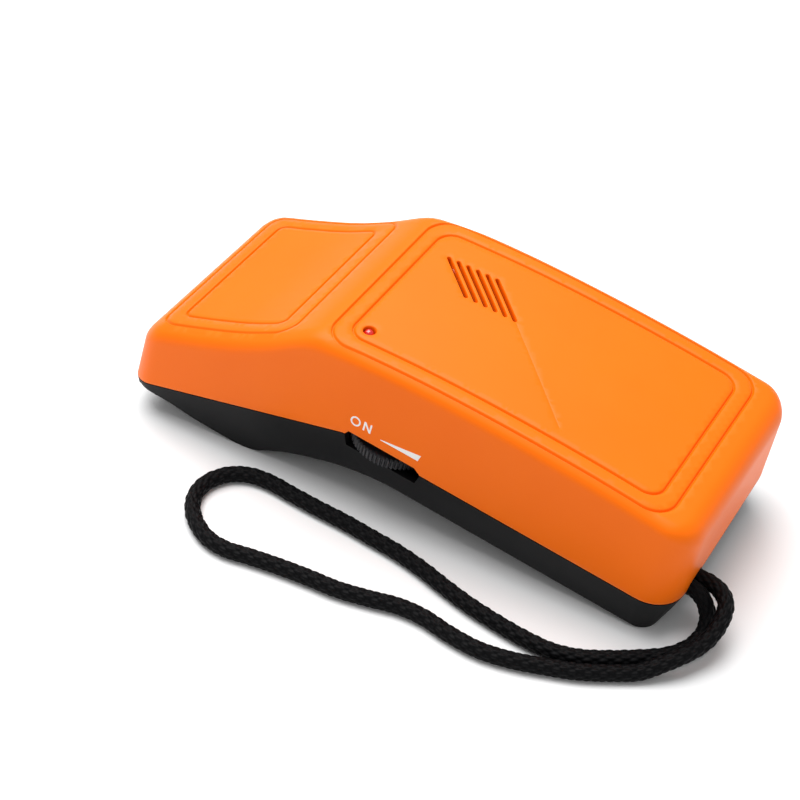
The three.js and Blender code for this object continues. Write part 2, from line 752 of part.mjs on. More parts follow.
function chip(x, y) {
  const z = boardTopZ + fitGap;
  const body = box(x - 4.7, x + 4.7, y - 3.2, y + 3.2, z + 0.6, z + 3.9);
  let whole = body.subtract(post(x - 4.7, y, z + 3.5, z + 5, 1.6, 12));
  for (let i = 0; i < 4; i++) {
    const pinX = x - 3.81 + i * 2.54;
    for (const side of [-1, 1]) {
      const y0 = y + side * 3.1;
      const y1 = y + side * 3.8;
      const low = Math.min(y0, y1);
      const high = Math.max(y0, y1);
      whole = whole.add(box(pinX - 0.35, pinX + 0.35, low, high, z, z + 2.2));
    }
  }
  return whole;
}

function capacitor(x, y, diameter, height) {
  const z = boardTopZ + fitGap;
  const r = diameter / 2;
  return turned(
    [
      [0, z],
      [r, z],
      [r, z + 0.9],
      [r - 0.3, z + 1.3],
      [r, z + 1.7],
      [r, z + height - 0.4],
      [r - 0.4, z + height],
      [0, z + height],
    ],
    x,
    y,
    20,
  );
}

function trimmer(x, y) {
  const z = boardTopZ + fitGap;
  const body = box(x - 3.3, x + 3.3, y - 3.4, y + 3.4, z, z + 3.2);
  const dial = post(x, y, z + 3, z + 4, 4.6, 18);
  return body.add(dial).subtract(box(x - 2, x + 2, y - 0.4, y + 0.4, z + 3.5, z + 5));
}

function transistor(x, y) {
  const shape = new THREE.Shape();
  shape.absarc(0, 0, 2.3, -0.6, Math.PI + 0.6, false);
  shape.closePath();
  const z = boardTopZ + fitGap;
  const geometry = new THREE.ExtrudeGeometry(shape, {
    depth: 4.4,
    bevelEnabled: false,
    curveSegments: 8,
  });
  let whole = solidOf(geometry.translate(x, y, z + 1.6));
  for (const step of [-1.27, 0, 1.27]) {
    whole = whole.add(box(x + step - 0.25, x + step + 0.25, y - 0.25, y + 0.25, z, z + 2));
  }
  return whole;
}

function resistor(x, y) {
  const z = boardTopZ + fitGap;
  const radius = 1.15;
  const body = new THREE.CylinderGeometry(radius, radius, 6.3, 14);
  const solid = solidOf(body.rotateZ(Math.PI / 2).translate(x, y, z + radius));
  const leg = (side) => {
    const x0 = x + side * 3;
    const x1 = x + side * 4.6;
    const bar = box(Math.min(x0, x1), Math.max(x0, x1), y - 0.3, y + 0.3, z + 0.85, z + 1.45);
    const foot = box(x1 - 0.3, x1 + 0.3, y - 0.3, y + 0.3, z, z + 1.45);
    return bar.add(foot);
  };
  return solid.add(leg(-1)).add(leg(1));
}

// ---------------------------------------------------------------- lamp and speaker
function lampLens() {
  const topZ = crownZ(lampX) - 0.1;
  const r = lampDiameter / 2;
  return turned(
    [
      [0, topZ - 5.4],
      [r + 0.4, topZ - 5.4],
      [r + 0.4, topZ - 4.6],
      [r, topZ - 4.6],
      [r, topZ - r],
      [r * 0.87, topZ - r * 0.5],
      [r * 0.5, topZ - r * 0.13],
      [0, topZ],
    ],
    lampX,
    lampY,
    20,
  );
}

const lampLegs = [
  ["lamp_leg_anode", 1.27],
  ["lamp_leg_cathode", -1.27],
];

function lampLeg(offset) {
  const topZ = crownZ(lampX) - 0.1 - 5.4 - fitGap;
  return box(
    lampX - 0.3,
    lampX + 0.3,
    lampY + offset - 0.3,
    lampY + offset + 0.3,
    boardTopZ + fitGap,
    topZ,
  );
}

function speakerFrame() {
  const top = speakerRimZ();
  const r = speakerDiameter / 2;
  return turned(
    [
      [r, top],
      [r - 1.4, top],
      [r - 1.7, top - 1.4],
      [8, top - 5],
      [3.6, top - 5],
      [3.6, top - 5.8],
      [8.4, top - 5.8],
      [r - 1.5, top - 2],
      [r, top - 1.6],
      [r, top],
    ],
    speakerX,
    speakerY,
  );
}

function speakerCone() {
  const top = speakerRimZ() - 0.3;
  const rim = speakerDiameter / 2 - 2.3;
  return turned(
    [
      [0, top - 1.4],
      [3, top - 2.4],
      [4.2, top - 3.6],
      [7.6, top - 3.9],
      [rim, top - 0.6],
      [rim, top],
      [7.4, top - 3.2],
      [5, top - 3],
      [3.2, top - 1.7],
      [0, top - 0.8],
    ],
    speakerX,
    speakerY,
  );
}

function speakerMagnet() {
  const top = speakerRimZ() - 5.8 - fitGap;
  return turned(
    [
      [0, top - 3.4],
      [7, top - 3.4],
      [7.4, top - 3],
      [7.4, top],
      [0, top],
    ],
    speakerX,
    speakerY,
    28,
  );
}

// ---------------------------------------------------------------- battery
function batteryCase() {
  const middleZ = (batteryLowZ + batteryTopZ) / 2;
  const shape = new THREE.Shape();
  const r = 2;
  const y = batteryWidth / 2;
  shape.moveTo(-y + r, batteryLowZ);
  shape.absarc(y - r, batteryLowZ + r, r, -quarterTurn, 0, false);
  shape.absarc(y - r, batteryTopZ - r, r, 0, quarterTurn, false);
  shape.absarc(-y + r, batteryTopZ - r, r, quarterTurn, 2 * quarterTurn, false);
  shape.absarc(-y + r, batteryLowZ + r, r, 2 * quarterTurn, 3 * quarterTurn, false);
  const geometry = alongLength(shape, batteryFrontX, batteryRearX);
  const recess = box(batteryFrontX - 1, batteryFrontX + 0.4, -11, 11, middleZ - 6, middleZ + 6);
  return geometry.subtract(recess);
}

function batteryTerminal(y, diameter) {
  const middleZ = (batteryLowZ + batteryTopZ) / 2;
  const geometry = new THREE.CylinderGeometry(diameter / 2, diameter / 2, 2.1, 18);
  const x = batteryFrontX + 0.1 - 1.05;
  return solidOf(geometry.rotateZ(Math.PI / 2).translate(x, y, middleZ));
}

function snapPlate() {
  const middleZ = (batteryLowZ + batteryTopZ) / 2;
  const x1 = batteryFrontX + 0.1 - 2.1 - fitGap;
  const shape = new THREE.Shape();
  shape.absarc(-6.35, middleZ, 6, quarterTurn, 3 * quarterTurn, false);
  shape.absarc(6.35, middleZ, 6, -quarterTurn, quarterTurn, false);
  return alongLength(shape, x1 - 1.9, x1);
}

function foamPad() {
  return box(batteryFrontX + 7.4, batteryRearX - 7, -9, 9, batteryTopZ + fitGap, padTopZ);
}

// ---------------------------------------------------------------- sensing head
// Drawn in a frame that lies on the inner face of the head's sloping floor.
const headFloorSlope = Math.atan2(heelDepth - noseDepth, heelX - 2 - noseStart.x);
const headMiddleX = -48;

function coilFormer() {
  const flange = (z) => upright(roundedRectangle(-12.5, 12.5, 26, 11.5), z, z + 1.2, 6);
  const hub = upright(roundedRectangle(-8, 8, 21.5, 7.5), 0.9, 8, 6);
  const slot = box(-4.6, 4.6, -18.4, 18.4, -1, 10);
  return joined(flange(0.3), hub, flange(7.7)).subtract(slot);
}

function coilWinding() {
  const outer = upright(roundedRectangle(-11.8, 11.8, 25.3, 10.8), 1.8, 7.4, 6);
  return outer.subtract(upright(roundedRectangle(-8.3, 8.3, 21.8, 7.8), 0, 9, 6));
}

function ferriteCore() {
  return box(-4.2, 4.2, -18, 18, 0.5, 8.6);
}

function biasMagnet() {
  return box(-18.4, -13.9, -15, 15, 0.7, 5.2);
}

// ---------------------------------------------------------------- wires inside
const wireDiameter = 1.2;

function wire(points) {
  return alongPoints(points, wireDiameter, 6, 18);
}

function batteryLead(y) {
  const plateX = batteryFrontX + 0.1 - 2.1 - fitGap - 1.9;
  const x = plateX - fitGap;
  return wire([
    [x, y, 0.4],
    [x - 0.9, y, 0.8],
    [x - 1.5, y, 3],
    [x - 1.9, y, 8],
    [x - 3.6, y, boardTopZ + 3],
    [x - 5.9, y, boardTopZ + 2.8],
    [x - 6.9, y, boardTopZ + 1.4],
    [x - 7, y, boardTopZ + fitGap],
  ]);
}

function speakerLead(side) {
  const y = speakerY + side * 4;
  const topZ = speakerRimZ() - 4.6;
  const x = speakerX + speakerDiameter / 2 - 3.7;
  return wire([
    [x, y, topZ],
    [x + 0.4, y, topZ - 2.4],
    [x + 1.8, y, topZ - 5.6],
    [x + 2, y, boardTopZ + 2.4],
    [x + 2, y, boardTopZ + fitGap],
  ]);
}

function coilLead(side) {
  const y = side * 6;
  return wire([
    [-38.2, side * 12, -20.1],
    [-36.5, side * 12, -17.6],
    [-30, side * 9, -10],
    [-20, y, -1.5],
    [-12, y, 6],
    [-8.2, y, boardTopZ + 3],
    [-5.6, y, boardTopZ + 3.2],
    [-4.3, y, boardTopZ + 1.6],
    [-4.2, y, boardTopZ + fitGap],
  ]);
}

// ---------------------------------------------------------------- assembly
const detector = new THREE.Group();
detector.name = "detector";

function place(name, shape, material, parent = detector) {
  const geometry = shape instanceof THREE.BufferGeometry ? shape : geometryOf(shape);
  geometry.deleteAttribute("normal");
  geometry.computeVertexNormals();
  const mesh = new THREE.Mesh(geometry, material.clone());
  mesh.name = name;
  parent.add(mesh);
  return mesh;
}

place("top_shell", topShell(), orangePlastic);
place("bottom_shell", bottomShell(), blackPlastic);
place("battery_door", batteryDoor(), blackPlastic);
for (const [name, x, y] of bossPlaces) {
  place(`case_screw_${name}`, caseScrew(x, y), steel);
}

place("thumbwheel", thumbwheel(), wheelPlastic);
place("thumbwheel_screw", wheelScrew(), steel);
place("control_shaft", potShaft(), whiteNylon);
place("control_body", potBody(), tinned);

place("circuit_board", circuitBoard(), greenBoard);
for (const [name, x, y] of boardScrewPlaces) {
  place(`board_screw_${name}`, boardScrew(x, y), steel);
}
place("amplifier_chip", chip(13, 12), blackEpoxy);
place("oscillator_chip", chip(24, -7), blackEpoxy);
place("capacitor_large", capacitor(32, 12, 8, 9), blueSleeve);
place("capacitor_small", capacitor(4, -5, 6.3, 7), blueSleeve);
place("trimmer", trimmer(24, -20), blueBody);
place("transistor", transistor(2, 25), blackEpoxy);
place("resistor_1", resistor(12, -12), whiteNylon);
place("resistor_2", resistor(12, -17), whiteNylon);

place("lamp_lens", lampLens(), redLens);
for (const [name, offset] of lampLegs) {
  place(name, lampLeg(offset), tinned);
}

place("speaker_frame", speakerFrame(), steel);
place("speaker_cone", speakerCone(), paperCone);
place("speaker_magnet", speakerMagnet(), darkFerrite);
place("speaker_lead_1", speakerLead(-1), redSleeve);
place("speaker_lead_2", speakerLead(1), blackSleeve);

place("battery_case", batteryCase(), batteryWrap);
place("battery_terminal_plus", batteryTerminal(-6.35, 5.8), nickel);
place("battery_terminal_minus", batteryTerminal(6.35, 8), nickel);
place("battery_snap", snapPlate(), blackSleeve);
place("battery_lead_plus", batteryLead(-6.35), redSleeve);
place("battery_lead_minus", batteryLead(6.35), blackSleeve);
place("battery_pad", foamPad(), greyFoam);

const head = new THREE.Group();
head.name = "sensing_head";
const headFloorZ = noseStart.y - Math.tan(headFloorSlope) * (headMiddleX - noseStart.x) + wall;
head.position.set(headMiddleX, 0, headFloorZ);
head.rotation.y = headFloorSlope;
detector.add(head);
place("coil_former", coilFormer(), whiteNylon, head);
place("coil_winding", coilWinding(), copperWire, head);
place("ferrite_core", ferriteCore(), darkFerrite, head);
place("bias_magnet", biasMagnet(), nickel, head);
place("coil_lead_1", coilLead(-1), redSleeve);
place("coil_lead_2", coilLead(1), blackSleeve);

// ---------------------------------------------------------------- standing
// The housing stands on its heel and on the rear edge of its underside.
const rearFoot = new THREE.Vector2(gripLength - rearUndercut - footRadius, -gripDepth);
const tilt = lowerProfile(0, 0)
  .getPoints(12)
  .filter((p) => p.x < 0 && p.y < -gripDepth)
  .reduce((most, p) => Math.max(most, Math.atan2(rearFoot.y - p.y, rearFoot.x - p.x)), 0);
detector.rotation.y = tilt;
detector.updateMatrixWorld(true);
const extent = new THREE.Box3().setFromObject(detector, true);
detector.position.set(
  -(extent.min.x + extent.max.x) / 2,
  -(extent.min.y + extent.max.y) / 2,
  -extent.min.z,
);
detector.updateMatrixWorld(true);

// ---------------------------------------------------------------- wrist strap
// One braided cord from the knot out of the rear wall, round a long loop on the surface and
// back. Each point is [along, across, rise]: millimetres from the middle of the cord hole, and
// height as a share of the hole's height over a cord that lies on the surface.
const strapRoute = [
  [5.3, 2.0, 0.97],
  [8.5, 0.4, 0.95],
  [10.6, -2.2, 0.91],
  [11.5, -5.5, 0.81],
  [11.5, -9.1, 0.67],
  [10.8, -12.7, 0.54],
  [9.4, -15.8, 0.42],
  [6.6, -20.7, 0.35],
  [2.6, -25.3, 0.19],
  [-1.4, -28.9, 0.03],
  [-7.6, -33.0, 0.00],
  [-15.5, -37.5, 0.00],
  [-23.9, -40.8, 0.00],
  [-32.4, -43.6, 0.00],
  [-41.2, -45.1, 0.00],
  [-50.2, -44.5, 0.00],
  [-59.0, -43.0, 0.00],
  [-66.5, -43.2, 0.00],
  [-74.7, -45.2, 0.00],
  [-83.5, -47.0, 0.00],
  [-92.5, -47.6, 0.00],
  [-101.5, -48.5, 0.00],
  [-110.4, -49.8, 0.00],
  [-117.2, -51.0, 0.00],
  [-123.6, -50.2, 0.00],
  [-130.1, -46.5, 0.00],
  [-134.4, -41.7, 0.00],
  [-136.4, -36.2, 0.00],
  [-135.9, -30.8, 0.00],
  [-132.9, -25.8, 0.00],
  [-128.0, -22.7, 0.00],
  [-121.7, -21.8, 0.00],
  [-112.7, -22.6, 0.00],
  [-103.8, -23.3, 0.00],
  [-94.8, -23.8, 0.00],
  [-85.8, -24.8, 0.00],
  [-76.9, -25.8, 0.00],
  [-68.1, -27.6, 0.00],
  [-59.4, -30.1, 0.00],
  [-50.7, -32.3, 0.00],
  [-41.9, -33.8, 0.00],
  [-32.9, -34.8, 0.00],
  [-24.4, -34.8, 0.00],
  [-17.1, -32.7, 0.00],
  [-9.5, -28.3, 0.00],
  [-2.6, -23.4, 0.00],
  [2.0, -19.6, 0.00],
  [5.3, -15.3, 0.01],
  [7.2, -11.4, 0.07],
  [8.0, -7.9, 0.22],
  [7.5, -5.3, 0.44],
  [5.9, -3.6, 0.68],
  [3.8, -2.9, 0.88],
];

function wristStrap() {
  const hole = detector.localToWorld(new THREE.Vector3(gripLength, cordHoleY, 0));
  const lyingZ = cordDiameter / 2 + 0.02;
  const strandEnd = (side) =>
    [gripLength - wall - 0.4, gripLength + 1.6].map((x) =>
      detector.localToWorld(new THREE.Vector3(x, cordHoleY + (side * cordSpacing) / 2, 0)).toArray(),
    );
  const lying = strapRoute.map(([along, across, rise]) => [
    hole.x + along,
    hole.y + across,
    lyingZ + rise * (hole.z - lyingZ),
  ]);
  const route = [...strandEnd(1), ...lying, ...strandEnd(-1).reverse()];
  return alongPoints(route, cordDiameter, 10, 80);
}

// The knot inside the rear wall that keeps both strands from pulling out.
function strapKnot() {
  const ball = new THREE.SphereGeometry(1, 20, 12).scale(4.3, knotHalfWidth, 4.2);
  return ball.translate(gripLength - wall - 5, cordHoleY, 0);
}
place("strap_knot", strapKnot(), braidedNylon);

const group = new THREE.Group();
group.name = "needle_detector";
group.add(detector);
place("strap_cord", wristStrap(), braidedNylon, group);

export default group;
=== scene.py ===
# %% [markdown]
# # A hand-held needle detector
# The detector has a bent two-part housing. The upper half is glossy orange, the lower half is
# satin black, and a braided strap comes out of the rear wall. The measured solids come from the
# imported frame, and this file adds the surfaces that the eye sees. Every length is in millimetres
# in the housing's own frame, until the last matrix turns it into metres on the table.

# %% Load the frame
import json
import math

import bmesh
import bpy
import numpy as np
from mathutils import Matrix, Vector
from mathutils.geometry import delaunay_2d_cdt


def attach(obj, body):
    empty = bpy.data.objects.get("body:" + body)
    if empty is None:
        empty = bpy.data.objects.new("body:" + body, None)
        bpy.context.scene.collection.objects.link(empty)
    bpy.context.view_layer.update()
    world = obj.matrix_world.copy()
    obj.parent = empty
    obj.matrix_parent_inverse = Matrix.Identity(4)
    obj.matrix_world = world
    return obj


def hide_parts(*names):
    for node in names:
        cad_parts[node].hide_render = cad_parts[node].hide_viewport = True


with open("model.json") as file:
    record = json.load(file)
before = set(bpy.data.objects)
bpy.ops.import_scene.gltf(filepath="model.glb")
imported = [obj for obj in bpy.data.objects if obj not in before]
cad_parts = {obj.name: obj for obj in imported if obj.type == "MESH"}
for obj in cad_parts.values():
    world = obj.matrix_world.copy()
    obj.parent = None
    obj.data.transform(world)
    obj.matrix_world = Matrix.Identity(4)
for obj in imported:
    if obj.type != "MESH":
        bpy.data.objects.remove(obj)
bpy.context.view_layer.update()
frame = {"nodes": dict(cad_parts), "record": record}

# %% [markdown]
# The housing is drawn with its grip level and then stands on the heel of its head and on the
# rear edge of its grip. One matrix holds that tilt and the change to metres. Keeping it apart
# means that every curve below can be written on a level grip, as a toolmaker would draw it.

# %% Stand the housing on the table
TILT = math.radians(8.06502343782051)
STAND_MM = Vector((-14.753147, 0.352093, 27.136466))
TO_TABLE = (
    Matrix.Diagonal((0.001, 0.001, 0.001, 1))
    @ Matrix.Translation(STAND_MM)
    @ Matrix.Rotation(TILT, 4, "Y")
)


def on_table(x, y, z):
    """A point of the level housing, in metres on the table."""
    return TO_TABLE @ Vector((x, y, z))


print("the bend of the grip is at", [round(v, 4) for v in on_table(0, 0, 0)])

# %% [markdown]
# A camera is a matrix and a focal length. This one looks down on the near side at about 41
# degrees and is rolled a little. Writing the matrix out keeps the angle exact, where aiming it
# with a Track To constraint would lose the roll.

# %% Camera
camera_data = bpy.data.cameras.new("camera")
camera_data.lens = 88.094
camera_data.sensor_width = 36
camera_data.clip_start = 0.01
camera = bpy.data.objects.new("camera", camera_data)
bpy.context.scene.collection.objects.link(camera)
camera_right = (0.866685, 0.494148, 0.068369)
camera_up = (-0.372010, 0.548901, 0.748543)
camera_back = (0.332363, -0.674185, 0.659553)
camera_place = (0.175952, -0.389948, 0.392854)
camera_rows = zip(camera_right, camera_up, camera_back, camera_place)
camera.matrix_world = Matrix((*camera_rows, (0, 0, 0, 1)))
bpy.context.scene.camera = camera
print("camera", [round(v, 3) for v in camera.matrix_world.translation])

# %% [markdown]
# The strap is one cord. It leaves a hole in the rear wall, turns towards the reader, lies on the
# table in a long narrow loop and comes back to the same hole. A cord could be simulated, but its
# route is known, so it is a centripetal Catmull-Rom curve through points in order. That kind of
# curve never overshoots, so the cord keeps its lay.

# %% Route of the strap
CORD_MM = 4.6
HOLE_MM = (87.030, -20.948, 12.714)
LYING_MM = 2.32
RING_STEP_MM = 0.36
strap_route = [
    (5.3, 2.0, 0.97), (8.5, 0.4, 0.95), (10.6, -2.2, 0.91), (11.5, -5.5, 0.81),
    (11.5, -9.1, 0.67), (10.8, -12.7, 0.54), (9.4, -15.8, 0.42), (6.6, -20.7, 0.35),
    (2.6, -25.3, 0.19), (-1.4, -28.9, 0.03), (-7.6, -33.0, 0), (-15.5, -37.5, 0),
    (-23.9, -40.8, 0), (-32.4, -43.6, 0), (-41.2, -45.1, 0), (-50.2, -44.5, 0),
    (-59.0, -43.0, 0), (-66.5, -43.2, 0), (-74.7, -45.2, 0), (-83.5, -47.0, 0),
    (-92.5, -47.6, 0), (-101.5, -48.5, 0), (-110.4, -49.8, 0), (-117.2, -51.0, 0),
    (-123.6, -50.2, 0), (-130.1, -46.5, 0), (-134.4, -41.7, 0), (-136.4, -36.2, 0),
    (-135.9, -30.8, 0), (-132.9, -25.8, 0), (-128.0, -22.7, 0), (-121.7, -21.8, 0),
    (-112.7, -22.6, 0), (-103.8, -23.3, 0), (-94.8, -23.8, 0), (-85.8, -24.8, 0),
    (-76.9, -25.8, 0), (-68.1, -27.6, 0), (-59.4, -30.1, 0), (-50.7, -32.3, 0),
    (-41.9, -33.8, 0), (-32.9, -34.8, 0), (-24.4, -34.8, 0), (-17.1, -32.7, 0),
    (-9.5, -28.3, 0), (-2.6, -23.4, 0), (2.0, -19.6, 0), (5.3, -15.3, 0.01),
    (7.2, -11.4, 0.07), (8.0, -7.9, 0.22), (7.5, -5.3, 0.44), (5.9, -3.6, 0.68),
    (3.8, -2.9, 0.88),
]
strap_points = (
    [(84.456, -18.448, 13.079), (88.614, -18.448, 12.490)]
    + [
        (HOLE_MM[0] + along, HOLE_MM[1] + across, LYING_MM + rise * (HOLE_MM[2] - LYING_MM))
        for along, across, rise in strap_route
    ]
    + [(88.614, -23.448, 12.490), (84.456, -23.448, 13.079)]
)


def smooth_curve(points, steps=24, power=0.5):
    """Catmull-Rom curve through points: power 0.5 is centripetal, 0 is uniform."""
    p = np.array(points, float)
    p = np.vstack([2 * p[0] - p[1], p, 2 * p[-1] - p[-2]])
    t = np.linspace(0, 1, steps, endpoint=False)[:, None]
    pieces = []
    for a, b, c, d in zip(p, p[1:], p[2:], p[3:]):
        ab, bc, cd = (np.linalg.norm(v) ** power for v in (b - a, c - b, d - c))
        start = bc * ((b - a) / ab - (c - a) / (ab + bc) + (c - b) / bc)
        end = bc * ((c - b) / bc - (d - b) / (bc + cd) + (d - c) / cd)
        square = 3 * (c - b) - 2 * start - end
        cube = 2 * (b - c) + start + end
        pieces.append(b + start * t + square * t**2 + cube * t**3)
    return np.vstack([*pieces, p[-2:-1]])


def evenly(line, step):
    """The same line with points a steady distance apart, and its length."""
    run = np.append(0, np.cumsum(np.linalg.norm(np.diff(line, axis=0), axis=1)))
    at = np.linspace(0, run[-1], max(2, round(run[-1] / step) + 1))
    return np.column_stack([np.interp(at, run, line[:, k]) for k in range(3)]), run[-1]


strap_line, strap_length = evenly(smooth_curve(strap_points), RING_STEP_MM)
print(f"strap: {strap_length:.1f} mm on {len(strap_line)} rings")

# %% [markdown]
# Meshes are made from lists of points and faces. The helper below takes points of the level
# housing, welds the ones that meet, turns the faces outwards and shades soft all but the creases
# above a given angle.

# %% Mesh helper
def mesh_object(name, points, faces, crease=35, matrix=TO_TABLE, weld=0.002):
    """A mesh object from points and faces, welded, closed faces turned outwards."""
    mesh = bpy.data.meshes.new(name)
    corners = [tuple(map(int, f)) for f in faces]
    mesh.from_pydata([tuple(map(float, p)) for p in points], [], corners)
    work = bmesh.new()
    work.from_mesh(mesh)
    if weld:
        bmesh.ops.remove_doubles(work, verts=work.verts, dist=weld)
        bmesh.ops.dissolve_degenerate(work, edges=work.edges, dist=weld / 10)
    bmesh.ops.recalc_face_normals(work, faces=work.faces)
    work.transform(matrix)
    work.to_mesh(mesh)
    open_edges = sum(len(e.link_faces) != 2 for e in work.edges)
    work.free()
    mesh.shade_smooth()
    mesh.set_sharp_from_angle(angle=math.radians(crease))
    made = bpy.data.objects.new(name, mesh)
    bpy.context.scene.collection.objects.link(made)
    print(f"{name}: {len(mesh.vertices)} points, {len(mesh.polygons)} faces, {open_edges} open")
    return made


def strip(lower, upper, count):
    """Quads between two rings of count points that start at these indices."""
    steps = [(i, (i + 1) % count) for i in range(count)]
    return [(lower + i, lower + j, upper + j, upper + i) for i, j in steps]


print("mesh helpers ready")


# %% [markdown]
# The cord is a round braid of black nylon. Eight strands wind to the left and eight to the
# right, and each passes over one and under the next. A bump map would leave its outline smooth,
# so the over-and-under is real here: the tube's radius rises to a ridge where a strand lies on
# top and falls to a groove where it dives. A stored number per point says how far across its
# strand the point lies, and the material uses it to lay the filaments and a painted highlight
# along each strand's crest.

# %% Braided strap
STRANDS = 8
PICK_MM = 2.05
TROUGH_MM, RIDGE_MM = 0.46, 0.58
RING_SIDES = 56
tangent = np.gradient(strap_line, axis=0)
tangent /= np.linalg.norm(tangent, axis=1)[:, None]
side = np.zeros_like(strap_line)
side[0] = np.cross((0, 0, 1), tangent[0])
for i in range(1, len(strap_line)):
    carried = side[i - 1] - tangent[i] * (side[i - 1] @ tangent[i])
    side[i] = carried / np.linalg.norm(carried)
side[0] /= np.linalg.norm(side[0])
over = np.cross(tangent, side)

turn = np.linspace(0, 2 * np.pi, RING_SIDES, endpoint=False)
run = np.arange(len(strap_line)) * strap_length / (len(strap_line) - 1)
right = STRANDS * turn[None, :] / (2 * np.pi) + run[:, None] / (2 * PICK_MM)
left = STRANDS * turn[None, :] / (2 * np.pi) - run[:, None] / (2 * PICK_MM)
right_on_top = (np.floor(right) + np.floor(left)) % 2 == 0
across = np.where(right_on_top, right % 1, left % 1) - 0.5
lengthwise = np.where(right_on_top, left % 1, right % 1) - 0.5
ridge = np.sqrt(np.clip(1 - (1.86 * across) ** 2, 0, 1)) * np.cos(np.pi * 0.8 * lengthwise)
radius = CORD_MM / 2 - TROUGH_MM + RIDGE_MM * ridge
rings = (
    strap_line[:, None, :]
    + radius[..., None] * np.cos(turn)[None, :, None] * side[:, None, :]
    + radius[..., None] * np.sin(turn)[None, :, None] * over[:, None, :]
)
count = len(strap_line) * RING_SIDES
strap_faces = []
for start in range(0, count - RING_SIDES, RING_SIDES):
    strap_faces += strip(start, start + RING_SIDES, RING_SIDES)
for end, start in enumerate((0, count - RING_SIDES)):
    strap_faces += [(count + end, start + i, start + (i + 1) % RING_SIDES) for i in range(RING_SIDES)]
strap = mesh_object(
    "wrist_strap",
    np.vstack([rings.reshape(-1, 3), strap_line[:1], strap_line[-1:]]),
    strap_faces,
    crease=180,
    matrix=Matrix.Diagonal((0.001, 0.001, 0.001, 1)),
    weld=0,
)
thread = strap.data.attributes.new("thread", "FLOAT", "POINT")
thread.data.foreach_set("value", np.append(across.ravel(), [0, 0]).astype(np.float32))
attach(strap, "housing")
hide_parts("strap_cord")

# %% [markdown]
# The orange half is a thin moulding. Its plan is a long rectangle with round corners, its walls
# lean in a little so that it leaves the mould, and its back follows one crown line. A boolean of
# solids would give the same form with ragged shading, so it is lofted instead: rings climb the
# wall and start the rolled edge, and a fine triangle net ends the roll and fills the crown.

# %% Lines of the housing
GRIP_MM, HEAD_MM, HALF_WIDTH, TIP_HALF_WIDTH = 102.8, 71.0, 37.5, 36.5
REAR_CORNER, TIP_CORNER = 10.6, 8.0
WALL, TOP_DRAFT = 2.2, 0.064
HEAD_FALL = math.tan(math.radians(21))
crown_knots = [
    (-67.6, -5), (-60, -1.4), (-52, 2.4), (-40, 8.6), (-30, 15), (-24, 19.5), (-20, 22.5),
    (-16.5, 24.5), (-12, 25.6), (0, 27), (20, 28.4), (44, 28.9), (70, 28.4), (95.46, 26.9),
]
crown_line = smooth_curve([(x, z, 0) for x, z in crown_knots], 60, power=0)[:, :2]
crown_line = np.vstack([(-76, -8.98), crown_line, (108, 26.05)])


def parting_z(x):
    """Height of the parting line: level along the grip, falling along the head."""
    return np.minimum(x, 0) * HEAD_FALL


def crown_z(x):
    """Height of the back above the grip's parting plane."""
    return np.interp(x, crown_line[:, 0], crown_line[:, 1])


crown_heights = [round(float(crown_z(x)), 2) for x in (0, 44, 95)]
print("crown at the bend, the middle and the rear:", crown_heights)

# %% [markdown]
# One closed walk round the plan gives every ring its points. It carries a normal for each point,
# so a ring can be drawn smaller by stepping inwards. Points sit closer together at the corners,
# at the wheel's window and at the cord hole, where the lower edge changes.

# %% Walk round the plan
WINDOW = [(0.6, 0.0), (1.6, 1.6), (22.8, 1.6), (25.0, 0.0)]
CORD_HOLE_Y, CORD_HOLE_HALF, CORD_HOLE_HIGH = -21.3, 5.2, 2.7


def spread(start, stop, step, extra=()):
    """Numbers from start up to stop, not counting stop, with extra ones sorted in."""
    plain = np.linspace(start, stop, max(2, round(abs(stop - start) / step)), endpoint=False)
    kept = [v for v in plain if all(abs(v - e) > step / 3 for e in extra)]
    return sorted([*kept, *extra], reverse=stop < start)


def corner(cx, cy, radius, first, steps=12):
    """Points and normals of a quarter turn that starts at an angle in degrees."""
    turns = np.radians(np.linspace(first, first + 90, steps, endpoint=False))
    normals = [(math.cos(a), math.sin(a)) for a in turns]
    return [(cx + radius * nx, cy + radius * ny, nx, ny) for nx, ny in normals]


def side_y(x):
    """Half width of the plan at x."""
    return HALF_WIDTH + min(x, 0) * (HALF_WIDTH - TIP_HALF_WIDTH) / (HEAD_MM - TIP_CORNER)


front, rear = -HEAD_MM + TIP_CORNER, GRIP_MM - REAR_CORNER
rear_y, tip_y = HALF_WIDTH - REAR_CORNER, TIP_HALF_WIDTH - TIP_CORNER
window_xs = [x for x, _ in WINDOW] + [0.0]
hole_ys = list(CORD_HOLE_Y + CORD_HOLE_HALF * np.cos(np.linspace(0, np.pi, 15)))
walk = (
    [(x, -side_y(x), 0, -1) for x in spread(front, rear, 1.5, window_xs)]
    + corner(rear, -rear_y, REAR_CORNER, -90)
    + [(GRIP_MM, y, 1, 0) for y in spread(-rear_y, rear_y, 1.5, hole_ys)]
    + corner(rear, rear_y, REAR_CORNER, 0)
    + [(x, side_y(x), 0, 1) for x in spread(rear, front, 1.5, [0.0])]
    + corner(front, tip_y, TIP_CORNER, 90)
    + [(-HEAD_MM, y, -1, 0) for y in spread(tip_y, -tip_y, 2)]
    + corner(front, -tip_y, TIP_CORNER, 180)
)
walk = np.array(walk)
plan, outward = walk[:, :2], walk[:, 2:]
print("plan:", len(walk), "points")

# %% [markdown]
# The lower edge is level, apart from two places. The wheel looks out through a low window with
# one bevelled end, and the cord leaves through half of a slot with round ends. The edge between
# wall and crown is rolled. The roll is tight along the grip and wider at both ends and the head.

